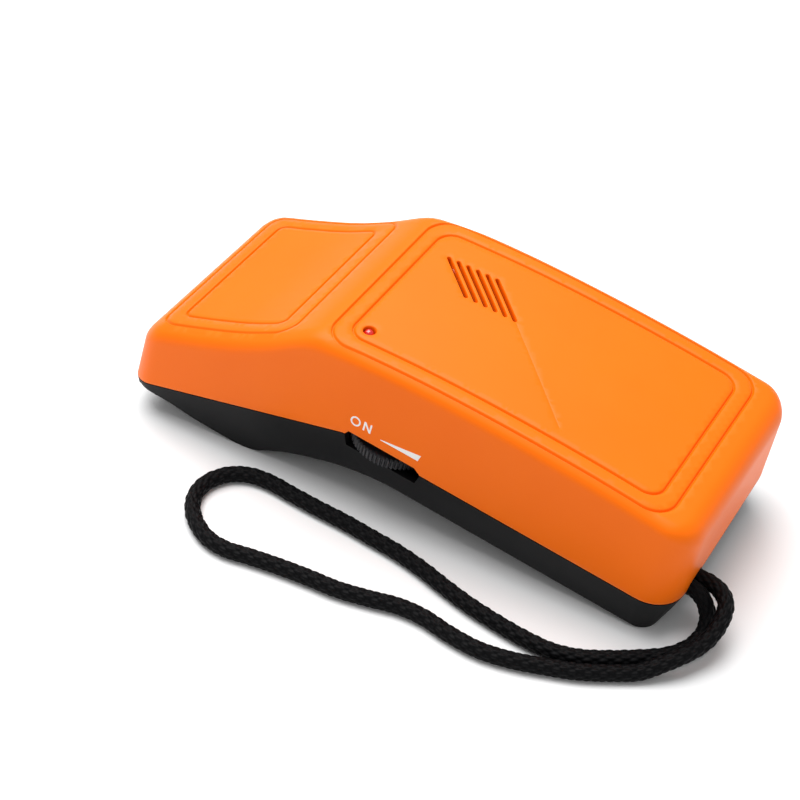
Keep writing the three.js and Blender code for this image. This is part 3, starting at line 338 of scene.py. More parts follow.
# %% Lower edge of the orange half
PARTING_GAP = 0.15
SIDE_ROLL, HEAD_MORE, REAR_MORE, TIP_MORE = 3.6, 2.2, 2.6, 1.4
near_side = outward[:, 1] < -0.99
rear_wall = outward[:, 0] > 0.99
window_rise = np.interp(plan[:, 0], *zip(*WINDOW)) * near_side
past_flat = np.clip(np.abs(plan[:, 1] - CORD_HOLE_Y) - (CORD_HOLE_HALF - CORD_HOLE_HIGH), 0, None)
hole_rise = np.sqrt(np.clip(CORD_HOLE_HIGH**2 - past_flat**2, 0, None)) * rear_wall
edge_rise = np.maximum(window_rise, hole_rise)
to_head = np.clip((8 - plan[:, 0]) / 38, 0, 1)
to_rear, to_tip = np.clip(outward[:, 0], 0, 1), np.clip(-outward[:, 0], 0, 1)
side_roll = SIDE_ROLL + HEAD_MORE * to_head**2 * (3 - 2 * to_head)
edge_radius = side_roll + REAR_MORE * to_rear**2 + TIP_MORE * to_tip**2


def wall_rings(inset, shares, turns, lift, lip):
    """Rings up a wall that leans in and rolls over into the crown, from a lip at its foot."""
    foot = parting_z(plan[:, 0]) + PARTING_GAP + edge_rise
    roll = np.maximum(edge_radius - inset, 0.6)
    made = []
    for step in lip:
        inwards = inset + step[0]
        made.append(np.column_stack([plan - outward * inwards, foot + step[1]]))
    for share in shares:
        shift = np.zeros(len(plan))
        for _ in range(3):
            x = plan[:, 0] - outward[:, 0] * (inset + shift)
            top = crown_z(x) - lift - roll
            z = foot + lip[-1][1] + share * (top - foot - lip[-1][1])
            shift = TOP_DRAFT * np.clip(z - parting_z(plan[:, 0]), 0, None)
        made.append(np.column_stack([plan - outward * (inset + shift)[:, None], z]))
    for angle in np.radians(turns):
        inwards = inset + shift + roll * (1 - math.cos(angle))
        spot = plan - outward * inwards[:, None]
        z = crown_z(spot[:, 0]) - lift - roll * (1 - math.sin(angle))
        made.append(np.column_stack([spot, z]))
    return made


outer_lip = [(0.3, 0), (0.08, 0.07), (0, 0.3)]
outer_rings = wall_rings(0, np.linspace(0.06, 1, 9), np.linspace(10, 50, 5), 0, outer_lip)
inner_rings = wall_rings(WALL, np.linspace(0.2, 1, 4), [30, 60, 90], WALL, [(-0.3, 0), (0, 0.3)])
print("wall:", len(outer_rings), "rings outside,", len(inner_rings), "inside")

# %% [markdown]
# Two fine grooves frame a panel on the grip and two more frame one on the head. Six slots let
# the sound out, and a hairline carries the last slot on across the panel. Each is known by how
# far a point lies from its centre line, so one depth rule serves them all, and the same distance
# gives the loops of points that hold its edges.

# %% Grooves, slots and the lamp's hole
GROOVE_HALF, GROOVE_DEEP, HAIR_HALF, HAIR_DEEP = 0.58, 0.75, 0.26, 0.10
SLOT_HALF, SLOT_BEVEL_HALF, SLOT_BEVEL_DEEP = 0.6, 0.85, 0.22
panel_frames = []
for x0, x1, half, radius in ((-14.2, 91.1, 33.05, 7.5), (-65.6, -24.6, 31.1, 5.0)):
    for step in (0, 4.8):
        panel_frames.append((x0 + step, x1 - step, half - step, radius - step / 2))
slot_run = np.array((12.0, -12.1))
slot_starts = [np.array((-2.6 + 3.15 * i, 17.6)) for i in range(6)]
slots = [(a, a + slot_run) for a in slot_starts]
ahead = slot_run / np.linalg.norm(slot_run)
hairline = (slots[-1][1] + 1.6 * ahead, slots[-1][1] + 41 * ahead)
LAMP_X, LAMP_Y, LAMP_HOLE = -4.9, -23.6, 1.85
LAMP_BEVEL, LAMP_BEVEL_DEEP = 0.35, 0.3


def frame_distance(x, y, frame_size):
    """How far points lie from the line of a rounded frame."""
    x0, x1, half, radius = frame_size
    qx = np.abs(x - (x0 + x1) / 2) - ((x1 - x0) / 2 - radius)
    qy = np.abs(y) - (half - radius)
    outside = np.hypot(np.maximum(qx, 0), np.maximum(qy, 0))
    return np.abs(outside + np.minimum(np.maximum(qx, qy), 0) - radius)


def segment_distance(x, y, segment):
    """How far points lie from a straight segment."""
    a, b = segment
    along = b - a
    share = np.clip(((x - a[0]) * along[0] + (y - a[1]) * along[1]) / (along @ along), 0, 1)
    return np.hypot(x - a[0] - share * along[0], y - a[1] - share * along[1])


def groove_depth(x, y):
    """How deep the crown is cut at these points."""
    deep = np.zeros_like(x)
    for frame_size in panel_frames:
        t = np.clip(frame_distance(x, y, frame_size) / GROOVE_HALF, 0, 1)
        deep = np.maximum(deep, GROOVE_DEEP * (1 - t**2 * (3 - 2 * t)))
    t = np.clip(segment_distance(x, y, hairline) / HAIR_HALF, 0, 1)
    deep = np.maximum(deep, HAIR_DEEP * (1 - t**2 * (3 - 2 * t)))
    for slot in slots:
        bevel = SLOT_BEVEL_HALF - SLOT_HALF
        t = np.clip((SLOT_BEVEL_HALF - segment_distance(x, y, slot)) / bevel, 0, 1)
        deep = np.maximum(deep, SLOT_BEVEL_DEEP * t**2)
    lamp_gap = LAMP_HOLE + LAMP_BEVEL - np.hypot(x - LAMP_X, y - LAMP_Y)
    t = np.clip(lamp_gap / LAMP_BEVEL, 0, 1)
    return np.maximum(deep, LAMP_BEVEL_DEEP * t**2)


def roll_drop(x, y):
    """How far the rolled edge lies under the crown at these points."""
    spots = np.column_stack([x, y])
    starts, ends = plan, np.roll(plan, -1, axis=0)
    span = ends - starts
    share = np.einsum("psk,sk->ps", spots[:, None] - starts, span) / np.sum(span**2, axis=1)
    share = np.clip(share, 0, 1)
    gap = np.linalg.norm(spots[:, None] - starts - share[..., None] * span, axis=2)
    nearest = gap.argmin(axis=1)
    rows = np.arange(len(spots))
    part = share[rows, nearest]
    radius = edge_radius[nearest] * (1 - part) + np.roll(edge_radius, -1)[nearest] * part
    lean = TOP_DRAFT * (crown_z(x) - radius - parting_z(starts[nearest, 0]))
    t = np.clip(1 - (gap[rows, nearest] - lean) / radius, 0, 1)
    return radius * (1 - np.sqrt(1 - t**2))


print(len(panel_frames), "grooves and", len(slots), "slots")

# %% [markdown]
# Each cut needs points that follow it, or the net would step across its edge. A groove gets
# several loops side by side, so that its round floor is drawn by real faces.

# %% Loops of points along the cuts
def frame_loop(frame_size, offset):
    """A rounded frame, drawn larger by offset, as a closed loop of points."""
    x0, x1, half, radius = frame_size
    x0, x1, half, radius = x0 - offset, x1 + offset, half + offset, radius + offset
    loop = [(x, -half) for x in spread(x0 + radius, x1 - radius, 2)]
    loop += [p[:2] for p in corner(x1 - radius, -half + radius, radius, -90, 9)]
    loop += [(x1, y) for y in spread(-half + radius, half - radius, 2)]
    loop += [p[:2] for p in corner(x1 - radius, half - radius, radius, 0, 9)]
    loop += [(x, half) for x in spread(x1 - radius, x0 + radius, 2)]
    loop += [p[:2] for p in corner(x0 + radius, half - radius, radius, 90, 9)]
    loop += [(x0, y) for y in spread(half - radius, -half + radius, 2)]
    return loop + [p[:2] for p in corner(x0 + radius, -half + radius, radius, 180, 9)]


def slot_loop(segment, half, steps=8, along=12):
    """A slot with round ends as a closed loop of points."""
    a, b = segment
    ahead = (b - a) / np.linalg.norm(b - a)
    aside = np.array((-ahead[1], ahead[0]))
    loop = [a + (b - a) * t - aside * half for t in np.linspace(0, 1, along, endpoint=False)]
    turns = np.linspace(-np.pi / 2, np.pi / 2, steps, endpoint=False)
    loop += [b + half * (ahead * math.cos(t) + aside * math.sin(t)) for t in turns]
    loop += [b + (a - b) * t + aside * half for t in np.linspace(0, 1, along, endpoint=False)]
    return loop + [a - half * (ahead * math.cos(t) + aside * math.sin(t)) for t in turns]


def round_loop(x, y, radius, steps=36):
    """A circle as a closed loop of points."""
    turns = np.linspace(0, 2 * np.pi, steps, endpoint=False)
    return [(x + radius * math.cos(a), y + radius * math.sin(a)) for a in turns]


across_groove = (-1, -0.72, -0.45, -0.18, 0.18, 0.45, 0.72, 1)
through_loops = [slot_loop(s, SLOT_HALF) for s in slots] + [round_loop(LAMP_X, LAMP_Y, LAMP_HOLE)]
cut_loops = [frame_loop(f, GROOVE_HALF * t) for f in panel_frames for t in across_groove]
cut_loops += [slot_loop(hairline, HAIR_HALF * t, 4, 20) for t in (0.02, 0.5, 1)]
cut_loops += [slot_loop(s, half) for s in slots for half in (0.72, SLOT_BEVEL_HALF)]
cut_loops += [round_loop(LAMP_X, LAMP_Y, LAMP_HOLE + step) for step in (0.15, LAMP_BEVEL)]
print(len(through_loops), "openings and", len(cut_loops), "loops along the cuts")

# %% [markdown]
# A constrained Delaunay net keeps each loop as edges and fills the rest with even triangles. The
# net is flat at first. Its heights come afterwards, from the crown line, the depth rule and the
# roll, so every point lies on the true surface and the shading stays clean. The net also tells
# which of its points belong to the border, and those take the height of the last ring.

# %% Net over the crown
def inside(points, loop):
    """Which points lie inside a closed loop."""
    x, y = points[:, 0], points[:, 1]
    hit = np.zeros(len(points), bool)
    for (x0, y0), (x1, y1) in zip(loop, np.roll(loop, -1, axis=0)):
        crosses = (y0 > y) != (y1 > y)
        if y0 != y1:
            hit ^= crosses & (x < (x1 - x0) * (y - y0) / (y1 - y0) + x0)
    return hit


def crown_net(border, openings, loops, spacing, clearance):
    """Plan points, triangles inside border and outside the openings, and the border's points."""
    xs = np.arange(border[:, 0].min(), border[:, 0].max(), spacing)
    ys = np.arange(border[:, 1].min(), border[:, 1].max(), spacing * 0.87)
    fill = np.array([(x + (k % 2) * spacing / 2, y) for k, y in enumerate(ys) for x in xs])
    held = [np.array(loop) for loop in [border, *openings, *loops]]
    anchors = np.vstack(held)
    fill = fill[inside(fill, border)]
    fill = fill[[np.min(np.sum((anchors - p) ** 2, axis=1)) > clearance**2 for p in fill]]
    if loops:
        fill = fill[groove_depth(fill[:, 0], fill[:, 1]) == 0]
    starts = np.cumsum([0] + [len(h) for h in held])
    edges = [(s + i, s + (i + 1) % len(h)) for s, h in zip(starts, held) for i in range(len(h))]
    flat = np.vstack([anchors, fill])
    net = delaunay_2d_cdt([Vector(p) for p in flat], edges, [], 0, 1e-5)
    found, _, triangles, sources = net[:4]
    found = np.array([tuple(v) for v in found])
    first_source = [(i, min(source)) for i, source in enumerate(sources) if source]
    on_border = [(i, source) for i, source in first_source if source < len(border)]
    triangles = np.array(triangles)
    middle = found[triangles].mean(axis=1)
    keep = inside(middle, border)
    for opening in openings:
        keep &= ~inside(middle, np.array(opening))
    return found, triangles[keep], np.array(on_border)


outer_plan, outer_triangles, outer_border = crown_net(
    outer_rings[-1][:, :2], through_loops, cut_loops, 1.7, 0.75
)
inner_plan, inner_triangles, _ = crown_net(inner_rings[-1][:, :2], through_loops, [], 5, 1.5)
print("crown net:", len(outer_triangles), "triangles outside,", len(inner_triangles), "inside")

# %% [markdown]
# The pieces of the moulding now go together: the rings outside, the rings inside, the foot that
# joins them, both nets, and the walls of the slots and of the lamp's hole.

# %% Orange half
points, faces = [], []


def add(new_points, new_faces):
    """New points and faces at the end of the lists."""
    start = len(points)
    points.extend(map(tuple, new_points))
    faces.extend([tuple(start + i for i in f) for f in new_faces])


around = len(plan)
for ring_list in (outer_rings, inner_rings):
    wall_faces = []
    for low in range(0, (len(ring_list) - 1) * around, around):
        wall_faces += strip(low, low + around, around)
    add(np.vstack(ring_list), wall_faces)
add(np.vstack([outer_rings[0], inner_rings[0]]), strip(0, around, around))
outer_z = crown_z(outer_plan[:, 0]) - groove_depth(*outer_plan.T) - roll_drop(*outer_plan.T)
outer_z[outer_border[:, 0]] = outer_rings[-1][outer_border[:, 1], 2]
add(np.column_stack([outer_plan, outer_z]), outer_triangles)
add(np.column_stack([inner_plan, crown_z(inner_plan[:, 0]) - WALL]), inner_triangles)
for loop in through_loops:
    loop = np.array(loop)
    top_z = crown_z(loop[:, 0]) - groove_depth(*loop.T) - roll_drop(*loop.T)
    low_z = crown_z(loop[:, 0]) - WALL
    walls = [np.column_stack([loop, top_z + (low_z - top_z) * t]) for t in (0, 0.5, 1)]
    size = len(loop)
    add(np.vstack(walls), strip(0, size, size) + strip(size, 2 * size, size))
orange_half = mesh_object("orange_half", points, faces, crease=48)
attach(orange_half, "housing")
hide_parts("top_shell")

# %% [markdown]
# White print beside the wheel says which way the power comes on, and a wedge grows towards high
# sensitivity. Print is a film of ink, so each mark is a thin plate that lies on the leaning wall.

# %% Print on the near side
INK_MM, INK_SUNK_MM = 0.035, 0.05


def on_wall(x, z, proud):
    """A point on the near wall, standing proud of it."""
    return (x, -HALF_WIDTH + TOP_DRAFT * z - proud, z)


def ink(loops_of_points, quads):
    """A thin plate of ink: loops in (x, z) and faces between them."""
    flat = [p for loop in loops_of_points for p in loop]
    total = len(flat)
    new_points = [on_wall(x, z, proud) for proud in (-INK_SUNK_MM, INK_MM) for x, z in flat]
    new_faces = [tuple(total + i for i in q) for q in quads] + [q[::-1] for q in quads]
    start = 0
    for loop in loops_of_points:
        new_faces += strip(start, total + start, len(loop))
        start += len(loop)
    return new_points, new_faces


points, faces = [], []
ring = np.linspace(0, 2 * np.pi, 32, endpoint=False)
letter_o = [
    [(2.8 + w * math.cos(a), 6.4 + h * math.sin(a)) for a in ring]
    for w, h in ((1.6, 1.65), (1.1, 1.13))
]
add(*ink(letter_o, strip(0, len(ring), len(ring))))
letter_n = [
    (5.35, 4.9), (5.87, 4.9), (5.87, 7.1), (7.30, 4.9), (7.85, 4.9), (7.85, 8.0), (7.33, 8.0),
    (7.33, 5.8), (5.90, 8.0), (5.35, 8.0),
]
add(*ink([letter_n], [(0, 1, 2, 8, 9), (2, 3, 7, 8), (3, 4, 5, 6, 7)]))
wedge = [(11.2, 4.76), (17.2, 4.8), (23.2, 4.8), (23.7, 7.0), (17.4, 5.95), (11.2, 4.98)]
add(*ink([wedge], [(0, 1, 4, 5), (1, 2, 3, 4)]))
side_print = mesh_object("side_print", points, faces, crease=30)
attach(side_print, "housing")

# %% [markdown]
# The lamp is a small red resin dome in a hole of the crown. A lathe turns its profile, and a dark
# ring of shadow is left between the dome and the hole.

# %% Lamp
def lathe(profile, x, y, sides=48):
    """Points and faces of a profile of (radius, z) turned about an upright axis."""
    turns = np.linspace(0, 2 * np.pi, sides, endpoint=False)
    made = [(x + r * math.cos(a), y + r * math.sin(a), z) for r, z in profile for a in turns]
    lows = range(0, (len(profile) - 1) * sides, sides)
    return made, [f for low in lows for f in strip(low, low + sides, sides)]


points, faces = [], []
DOME_MM, FLANGE_MM = 1.5, 1.9
dome_top = float(crown_z(LAMP_X)) - 0.1
rise = np.linspace(0, np.pi / 2, 12)
dome = [(DOME_MM * math.cos(a), dome_top - DOME_MM + DOME_MM * math.sin(a)) for a in rise]
flange = [(0, dome_top - 5.4), (FLANGE_MM, dome_top - 5.4), (FLANGE_MM, dome_top - 4.6)]
add(*lathe([*flange, (DOME_MM, dome_top - 4.5), *dome], LAMP_X, LAMP_Y))
lamp = mesh_object("lamp_dome", points, faces, crease=40)
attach(lamp, "housing")
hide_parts("lamp_lens")

# %% [markdown]
# The rest of the frame shows as it is, such as the black half, the wheel and the screws. Its
# meshes come in with hard facets. A small node group welds their points and shades soft every
# edge below an angle, and weighted normals let the large flat faces rule the shading.

# %% Soft shading for the frame's own pieces
soften = bpy.data.node_groups.new("soften", "GeometryNodeTree")
soften.interface.new_socket("Geometry", in_out="INPUT", socket_type="NodeSocketGeometry")
soften.interface.new_socket("Geometry", in_out="OUTPUT", socket_type="NodeSocketGeometry")


def geometry_node(kind, settings=(), links=()):
    """A node in the group: settings first, then values or links of its inputs."""
    made = soften.nodes.new(kind)
    for key, value in dict(settings).items():
        setattr(made, key, value)
    for key, value in dict(links).items():
        if isinstance(value, bpy.types.NodeSocket):
            soften.links.new(value, made.inputs[key])
        else:
            made.inputs[key].default_value = value
    return made


WELD_M, CREASE = 2e-6, math.radians(33)
incoming = geometry_node("NodeGroupInput").outputs[0]
welded = geometry_node(
    "GeometryNodeMergeByDistance", links={"Geometry": incoming, "Distance": WELD_M}
).outputs[0]
smooth = geometry_node(
    "GeometryNodeSetShadeSmooth", links={"Geometry": welded, "Shade Smooth": True}
).outputs[0]
angle = geometry_node("GeometryNodeInputMeshEdgeAngle").outputs["Unsigned Angle"]
steep = geometry_node(
    "FunctionNodeCompare", {"operation": "GREATER_THAN"}, {0: angle, 1: CREASE}
).outputs[0]
creased = geometry_node(
    "GeometryNodeSetShadeSmooth",
    {"domain": "EDGE"},
    {"Geometry": smooth, "Selection": steep, "Shade Smooth": False},
).outputs[0]
geometry_node("NodeGroupOutput", links={"Geometry": creased})
for node in frame["nodes"].values():
    node.modifiers.new("soften", "NODES").node_group = soften
    weighted = node.modifiers.new("weighted", "WEIGHTED_NORMAL")
    weighted.keep_sharp = True
print("softened", len(frame["nodes"]), "pieces of the frame")

# %% [markdown]
# A material is a sum of small rules: a colour, how it varies, how rough it is, and how its
# surface swells. The class below wraps one output of a node, so these rules can be written as
# plain arithmetic, and each operation adds its own Math node.

# %% Sockets that can be added and multiplied
class Value:
    """One output of a shader node, with Python's arithmetic."""

    def __init__(self, recipe, output):
        self.recipe, self.output = recipe, output

    def _math(self, operation, first, second):
        return self.recipe.node("ShaderNodeMath", {"operation": operation}, {0: first, 1: second})

    def __add__(self, other):
        return self._math("ADD", self, other)

    def __radd__(self, other):
        return self._math("ADD", other, self)

    def __sub__(self, other):
        return self._math("SUBTRACT", self, other)

    def __rsub__(self, other):
        return self._math("SUBTRACT", other, self)

    def __mul__(self, other):
        return self._math("MULTIPLY", self, other)

    def __rmul__(self, other):
        return self._math("MULTIPLY", other, self)

    def __pow__(self, other):
        return self._math("POWER", self, other)


class Recipe:
    """A material under construction."""

    def __init__(self, name):
        self.material = bpy.data.materials.new(name)
        self.material.use_nodes = True
        self.tree = self.material.node_tree
        self.tree.nodes.clear()
        place = self.node("ShaderNodeTexCoord", output="Object")
        to_mm = {0: place, "Scale": 1000.0}
        self.mm = self.node("ShaderNodeVectorMath", {"operation": "SCALE"}, to_mm)

    def node(self, kind, settings=(), inputs=(), output=0):
        """A node of this kind, its settings first and then its inputs. Gives one output."""
        made = self.tree.nodes.new(kind)
        for key, value in dict(settings).items():
            setattr(made, key, value)
        for key, value in dict(inputs).items():
            if isinstance(value, Value):
                self.tree.links.new(value.output, made.inputs[key])
            else:
                made.inputs[key].default_value = value
        return Value(self, made.outputs[output])

    def noise(self, scale, detail=2.0, roughness=0.5, vector=None):
        """Smooth random values from 0 to 1, scale blobs per millimetre."""
        inputs = {"Vector": vector or self.mm, "Scale": scale, "Detail": detail}
        return self.node("ShaderNodeTexNoise", {}, {**inputs, "Roughness": roughness})

    def blend(self, share, first, second):
        """A colour between two colours."""
        sockets = {0: share, 6: self.rgba(first), 7: self.rgba(second)}
        return self.node("ShaderNodeMix", {"data_type": "RGBA"}, sockets, 2)

    @staticmethod
    def rgba(colour):
        """A colour as an input takes it."""
        return colour if isinstance(colour, Value) else (*colour, 1)

    def finish(self, colour, roughness, height=None, depth_mm=0.02, **constants):
        """The Principled shader and the material's output."""
        inputs = {"Base Color": self.rgba(colour), "Roughness": roughness, **constants}
        if height is not None:
            bump = {"Height": height, "Strength": 1.0, "Distance": depth_mm / 1000}
            inputs["Normal"] = self.node("ShaderNodeBump", {}, bump)
        shader = self.node("ShaderNodeBsdfPrincipled", {}, inputs)
        end = self.tree.nodes.new("ShaderNodeOutputMaterial")
        self.tree.links.new(shader.output, end.inputs[0])
        return self.material


print("material helpers ready")

# %% [markdown]
# The orange plastic is coloured all through and comes out of a polished mould. It is glossy, with
# a faint orange-peel swell, a colour that drifts a little with the flow of the melt, and handling
# that dulls it in soft patches.

# %% Moulded plastics
def moulded(name, colour, drift, roughness, swell=0.35, grain=4.0, depth_mm=0.006, **constants):
    """Plastic from a mould: drifting colour, uneven gloss, fine grain over a broad swell."""
    make = Recipe(name)
    broad = make.noise(0.05, 3.0)
    fine = make.noise(grain, 2.0)
    tone = make.blend(broad, colour, drift)
    rough = roughness + 0.10 * (make.noise(0.12, 4.0) - 0.5) + 0.05 * (fine - 0.5)
    height = swell * make.noise(0.6, 1.0) + (1 - swell) * fine
    return make.finish(tone, rough, height, depth_mm, **constants)


finishes = {
    "orange_shell": moulded(
        "orange plastic", (0.93, 0.150, 0.0006), (0.95, 0.166, 0.0012), 0.40, 0.6, 3.0, 0.004,
        **{"Specular IOR Level": 0.16},
    ),
    "black_shell": moulded(
        "black plastic", (0.0042, 0.0042, 0.0048), (0.0062, 0.0062, 0.0070), 0.45, 0.2, 5.0, 0.012,
        **{"Specular IOR Level": 0.09},
    ),
    "wheel_plastic": moulded(
        "wheel plastic", (0.008, 0.008, 0.010), (0.013, 0.013, 0.016), 0.34, 0.3, 5.0, 0.01,
        **{"Specular IOR Level": 0.4},
    ),
    "white_nylon": moulded("white nylon", (0.80, 0.78, 0.70), (0.72, 0.69, 0.60), 0.5),
    "black_epoxy": moulded(
        "black epoxy", (0.018, 0.018, 0.020), (0.03, 0.03, 0.032), 0.6, 0.1, 7.0, 0.02
    ),
    "blue_sleeve": moulded("blue sleeve", (0.012, 0.03, 0.16), (0.02, 0.045, 0.2), 0.32),
    "blue_trimmer": moulded("blue trimmer", (0.03, 0.14, 0.45), (0.04, 0.18, 0.5), 0.45),
    "resistor_body": moulded("resistor lacquer", (0.55, 0.38, 0.17), (0.62, 0.45, 0.22), 0.4),
    "red_sleeve": moulded("red sleeve", (0.42, 0.018, 0.012), (0.5, 0.03, 0.02), 0.45),
    "black_sleeve": moulded("black sleeve", (0.012, 0.012, 0.012), (0.02, 0.02, 0.02), 0.5),
    "battery_wrap": moulded(
        "battery jacket", (0.02, 0.03, 0.05), (0.03, 0.04, 0.06), 0.35, 0.5, 3.0, 0.004, Metallic=0.4
    ),
}
print(len(finishes), "moulded finishes")

# %% [markdown]
# The metals differ in polish. Plated screws and cans are bright with fine scratches that run one
# way, and the sintered parts are dark and pitted.

# %% Metals and minerals
def metal(name, colour, tarnish, roughness, stretch, depth_mm):
    """Metal with scratches drawn out along one axis, and a tarnish in soft patches."""
    make = Recipe(name)
    drawn = make.node("ShaderNodeVectorMath", {"operation": "MULTIPLY"}, {0: make.mm, 1: stretch})
    scratch = make.noise(1.0, 3.0, 0.6, drawn)
    patch = make.noise(0.4, 3.0)
    tone = make.blend(patch**2.0, colour, tarnish)
    rough = roughness + 0.18 * (scratch - 0.5) + 0.08 * patch
    return make.finish(tone, rough, scratch, depth_mm, Metallic=1.0)


finishes |= {
    "screw_steel": metal(
        "zinc plate", (0.60, 0.62, 0.64), (0.42, 0.42, 0.44), 0.3, (9, 1.5, 9), 0.006
    ),
    "tinned_metal": metal(
        "tinned steel", (0.72, 0.73, 0.74), (0.55, 0.55, 0.56), 0.32, (6, 1, 6), 0.004
    ),
    "nickel": metal("nickel plate", (0.78, 0.75, 0.69), (0.6, 0.57, 0.5), 0.22, (3, 3, 3), 0.003),
    "ferrite": metal("ferrite", (0.06, 0.06, 0.065), (0.03, 0.03, 0.034), 0.55, (5, 5, 5), 0.03),
}


def copper_winding():
    """Enamelled wire wound side by side: round turns across the coil's height, painted bright on each
    crest and dark between turns as highlight and shade.
    """
    make = Recipe("copper winding")
    turns = make.node(
        "ShaderNodeTexWave",
        {"bands_direction": "Z", "wave_profile": "SIN"},
        {"Vector": make.mm, "Scale": 1.05, "Distortion": 0.4, "Detail Scale": 0.5},
    )
    # Painted highlight and shade: each turn is bright copper on its crest and dark in the valley
    # between turns.
    tone = make.blend(turns, (0.22, 0.045, 0.012), (0.72, 0.26, 0.09))
    return make.finish(tone, 0.28 + 0.1 * make.noise(1.0), turns, 0.12, Metallic=0.8)


finishes["copper_wire"] = copper_winding()
print(len(finishes), "finishes so far")

# %% [markdown]
# The last finishes each have a structure of their own: tracks under the board's green lacquer,
# cells in the foam with painted shade in their pits, fibres in the paper cone, a clear red body
# for the lamp with a painted glow, filaments in the braid with a painted highlight on each
# strand's crest, and a thin white ink.

# %% Board, foam, paper, lamp, braid and ink
def green_board():
    """Green lacquer over copper tracks, which show as paler lines."""
    make = Recipe("green board")
    tracks = make.node(
        "ShaderNodeTexBrick",
        {"offset": 0.35},
        {
            "Vector": make.mm, "Scale": 0.32, "Brick Width": 0.9,
            "Mortar Size": 0.06, "Mortar Smooth": 0.2,
        },
        "Fac",
    )
    tone = make.blend(tracks, (0.012, 0.12, 0.035), (0.05, 0.26, 0.08))
    return make.finish(tone, 0.35 + 0.12 * make.noise(0.8), tracks + 0.2 * make.noise(3.0), 0.04)


def foam():
    """Open cells: pale walls with painted shade in the pits between them."""
    make = Recipe("grey foam")
    cells = make.node("ShaderNodeTexVoronoi", {}, {"Vector": make.mm, "Scale": 1.6})
    # Painted shade: the middle of each cell is darker, where its pit would lie in shade.
    tone = make.blend(cells, (0.03, 0.03, 0.035), (0.22, 0.22, 0.24))
    return make.finish(tone, 0.95 - 0.1 * make.noise(2.0), cells, 0.3)


def paper():
    """Pressed paper pulp with short fibres."""
    make = Recipe("paper cone")
    fibres = make.noise(2.5, 5.0, 0.7)
    tone = make.blend(fibres, (0.016, 0.013, 0.011), (0.06, 0.05, 0.042))
    return make.finish(tone, 0.85 + 0.1 * fibres, fibres, 0.06)


def red_resin():
    """Clear red resin, with soft patches of brighter red painted in as a glow of the chip."""
    make = Recipe("red resin")
    glow_patches = make.noise(0.8, 2.0)
    # Painted glow: random patches of the red are brighter, though the lamp gives off no light.
    tone = make.blend(glow_patches, (0.42, 0.006, 0.006), (0.75, 0.012, 0.010))
    constants = {"Coat Weight": 1.0, "Coat Roughness": 0.03, "Specular IOR Level": 0.6}
    return make.finish(tone, 0.12 + 0.06 * glow_patches, glow_patches, 0.01, **constants)


def braid():
    """Nylon filaments along each strand, glossier where they crest and painted lighter there as a
    highlight.
    """
    make = Recipe("braided nylon")
    across = make.node("ShaderNodeAttribute", {"attribute_name": "thread"}, output="Fac")
    crest = 1 - (2 * across) ** 2.0
    filament = make.noise(6.0, 2.0, 0.6)
    # Painted highlight: the filament tone is lighter only on each strand's crest, where light would
    # catch it.
    tone = make.blend(filament * crest, (0.0012, 0.0012, 0.0014), (0.0065, 0.0065, 0.0075))
    rough = 0.58 - 0.30 * filament * crest
    return make.finish(tone, rough, filament, 0.05, **{"Specular IOR Level": 0.07})


def white_ink():
    """Screen-printed ink: nearly even, with the weave of the screen just showing."""
    make = Recipe("white ink")
    weave = make.noise(5.0, 2.0)
    tone = make.blend(weave, (0.86, 0.84, 0.82), (0.95, 0.94, 0.93))
    return make.finish(tone, 0.45 + 0.1 * weave, weave, 0.004)


finishes |= {
    "green_board": green_board(),
    "grey_foam": foam(),
    "paper_cone": paper(),
    "red_lens": red_resin(),
    "braid": braid(),
}
ink_finish = white_ink()
print(len(finishes) + 1, "finishes in all")

# %% [markdown]
# The record names a slot for each piece of the frame, so the finish follows from the slot. The
# four surfaces drawn here take the finish of the pieces that they stand for.

# %% Give every piece its finish
slot_of = {part["node"]: part["material_slot"] for part in frame["record"]["subparts"]}


def dress(piece, material):
    """Give a piece one material in place of any it has."""
    piece.data.materials.clear()
    piece.data.materials.append(material)


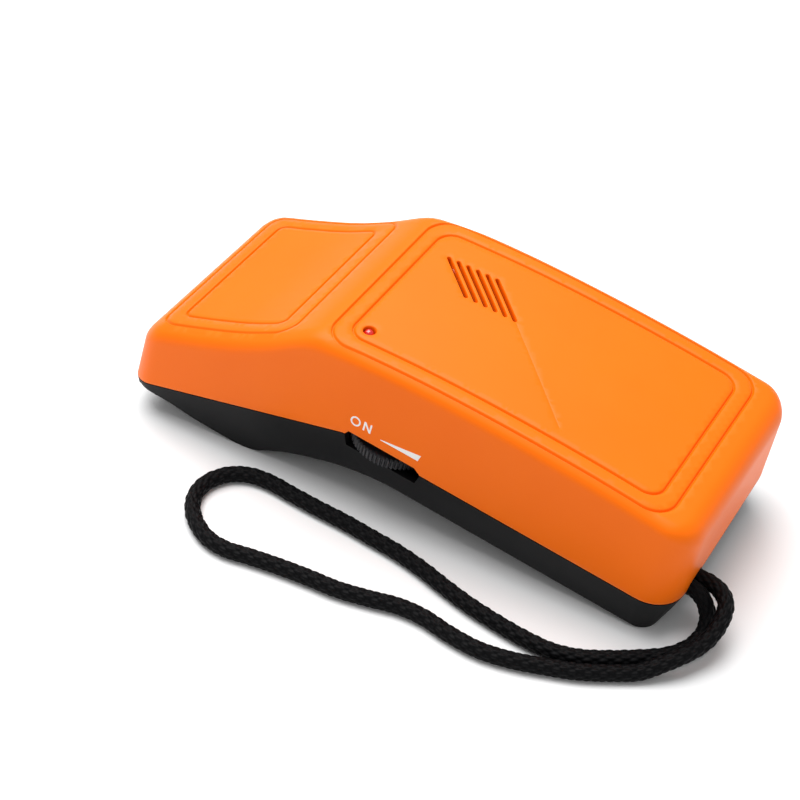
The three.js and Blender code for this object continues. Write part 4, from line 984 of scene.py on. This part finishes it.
for name, node in frame["nodes"].items():
    dress(node, finishes[slot_of[name]])
for piece, slot_name in ((orange_half, "orange_shell"), (lamp, "red_lens"), (strap, "braid")):
    dress(piece, finishes[slot_name])
dress(side_print, ink_finish)
print("dressed", len(frame["nodes"]) + 4, "pieces")

# %% [markdown]
# The set is a white table without an edge in view, a broad softbox above and behind the object,
# and a pale room all round. The table is wide enough for every view. Its slight unevenness keeps
# it from looking like an empty background.

# %% Table
def white_table():
    """Matt white board with a faint mottle."""
    make = Recipe("white table")
    mottle = make.noise(0.02, 3.0)
    tone = make.blend(mottle, (0.86, 0.86, 0.865), (0.90, 0.90, 0.90))
    return make.finish(tone, 0.6 + 0.1 * mottle, mottle, 0.02, **{"Specular IOR Level": 0.2})


TABLE_HALF_M = 3.0
table_corners = [(-1, -1), (1, -1), (1, 1), (-1, 1)]
table = mesh_object(
    "table",
    [(x * TABLE_HALF_M, y * TABLE_HALF_M, 0) for x, y in table_corners],
    [(0, 1, 2, 3)],
    matrix=Matrix.Identity(4),
    weld=0,
)
dress(table, white_table())

# %% [markdown]
# One broad softbox gives the crown its even glow and the soft shadow on the near side. The room
# fills the shadow. A larger box would blur the shadow more, and a stronger room would wash it out.

# %% Light
BOX_PLACE, BOX_AIM = Vector((-0.28, 0.16, 1.00)), Vector((0, 0, 0.02))
box_data = bpy.data.lights.new("top_box", "AREA")
box_data.size, box_data.energy = 1.0, 17
top_box = bpy.data.objects.new("top_box", box_data)
bpy.context.scene.collection.objects.link(top_box)
top_box.location = BOX_PLACE
top_box.rotation_euler = (BOX_AIM - BOX_PLACE).to_track_quat("-Z", "Y").to_euler()
world = bpy.data.worlds.new("room")
bpy.context.scene.world = world
world.use_nodes = True
room = world.node_tree.nodes["Background"].inputs
room["Color"].default_value = (1, 1, 1, 1)
room["Strength"].default_value = 0.50
bpy.context.scene.view_settings.view_transform = "Standard"

# %% [markdown]
# Last come the sizes. The visible model has to stay in the room that the measured one takes.
# A helper writes a box as short plain numbers.

# %% Sizes and the end
def plain(bounds):
    """A box as short plain numbers."""
    return [[round(float(v), 6) for v in end] for end in bounds]
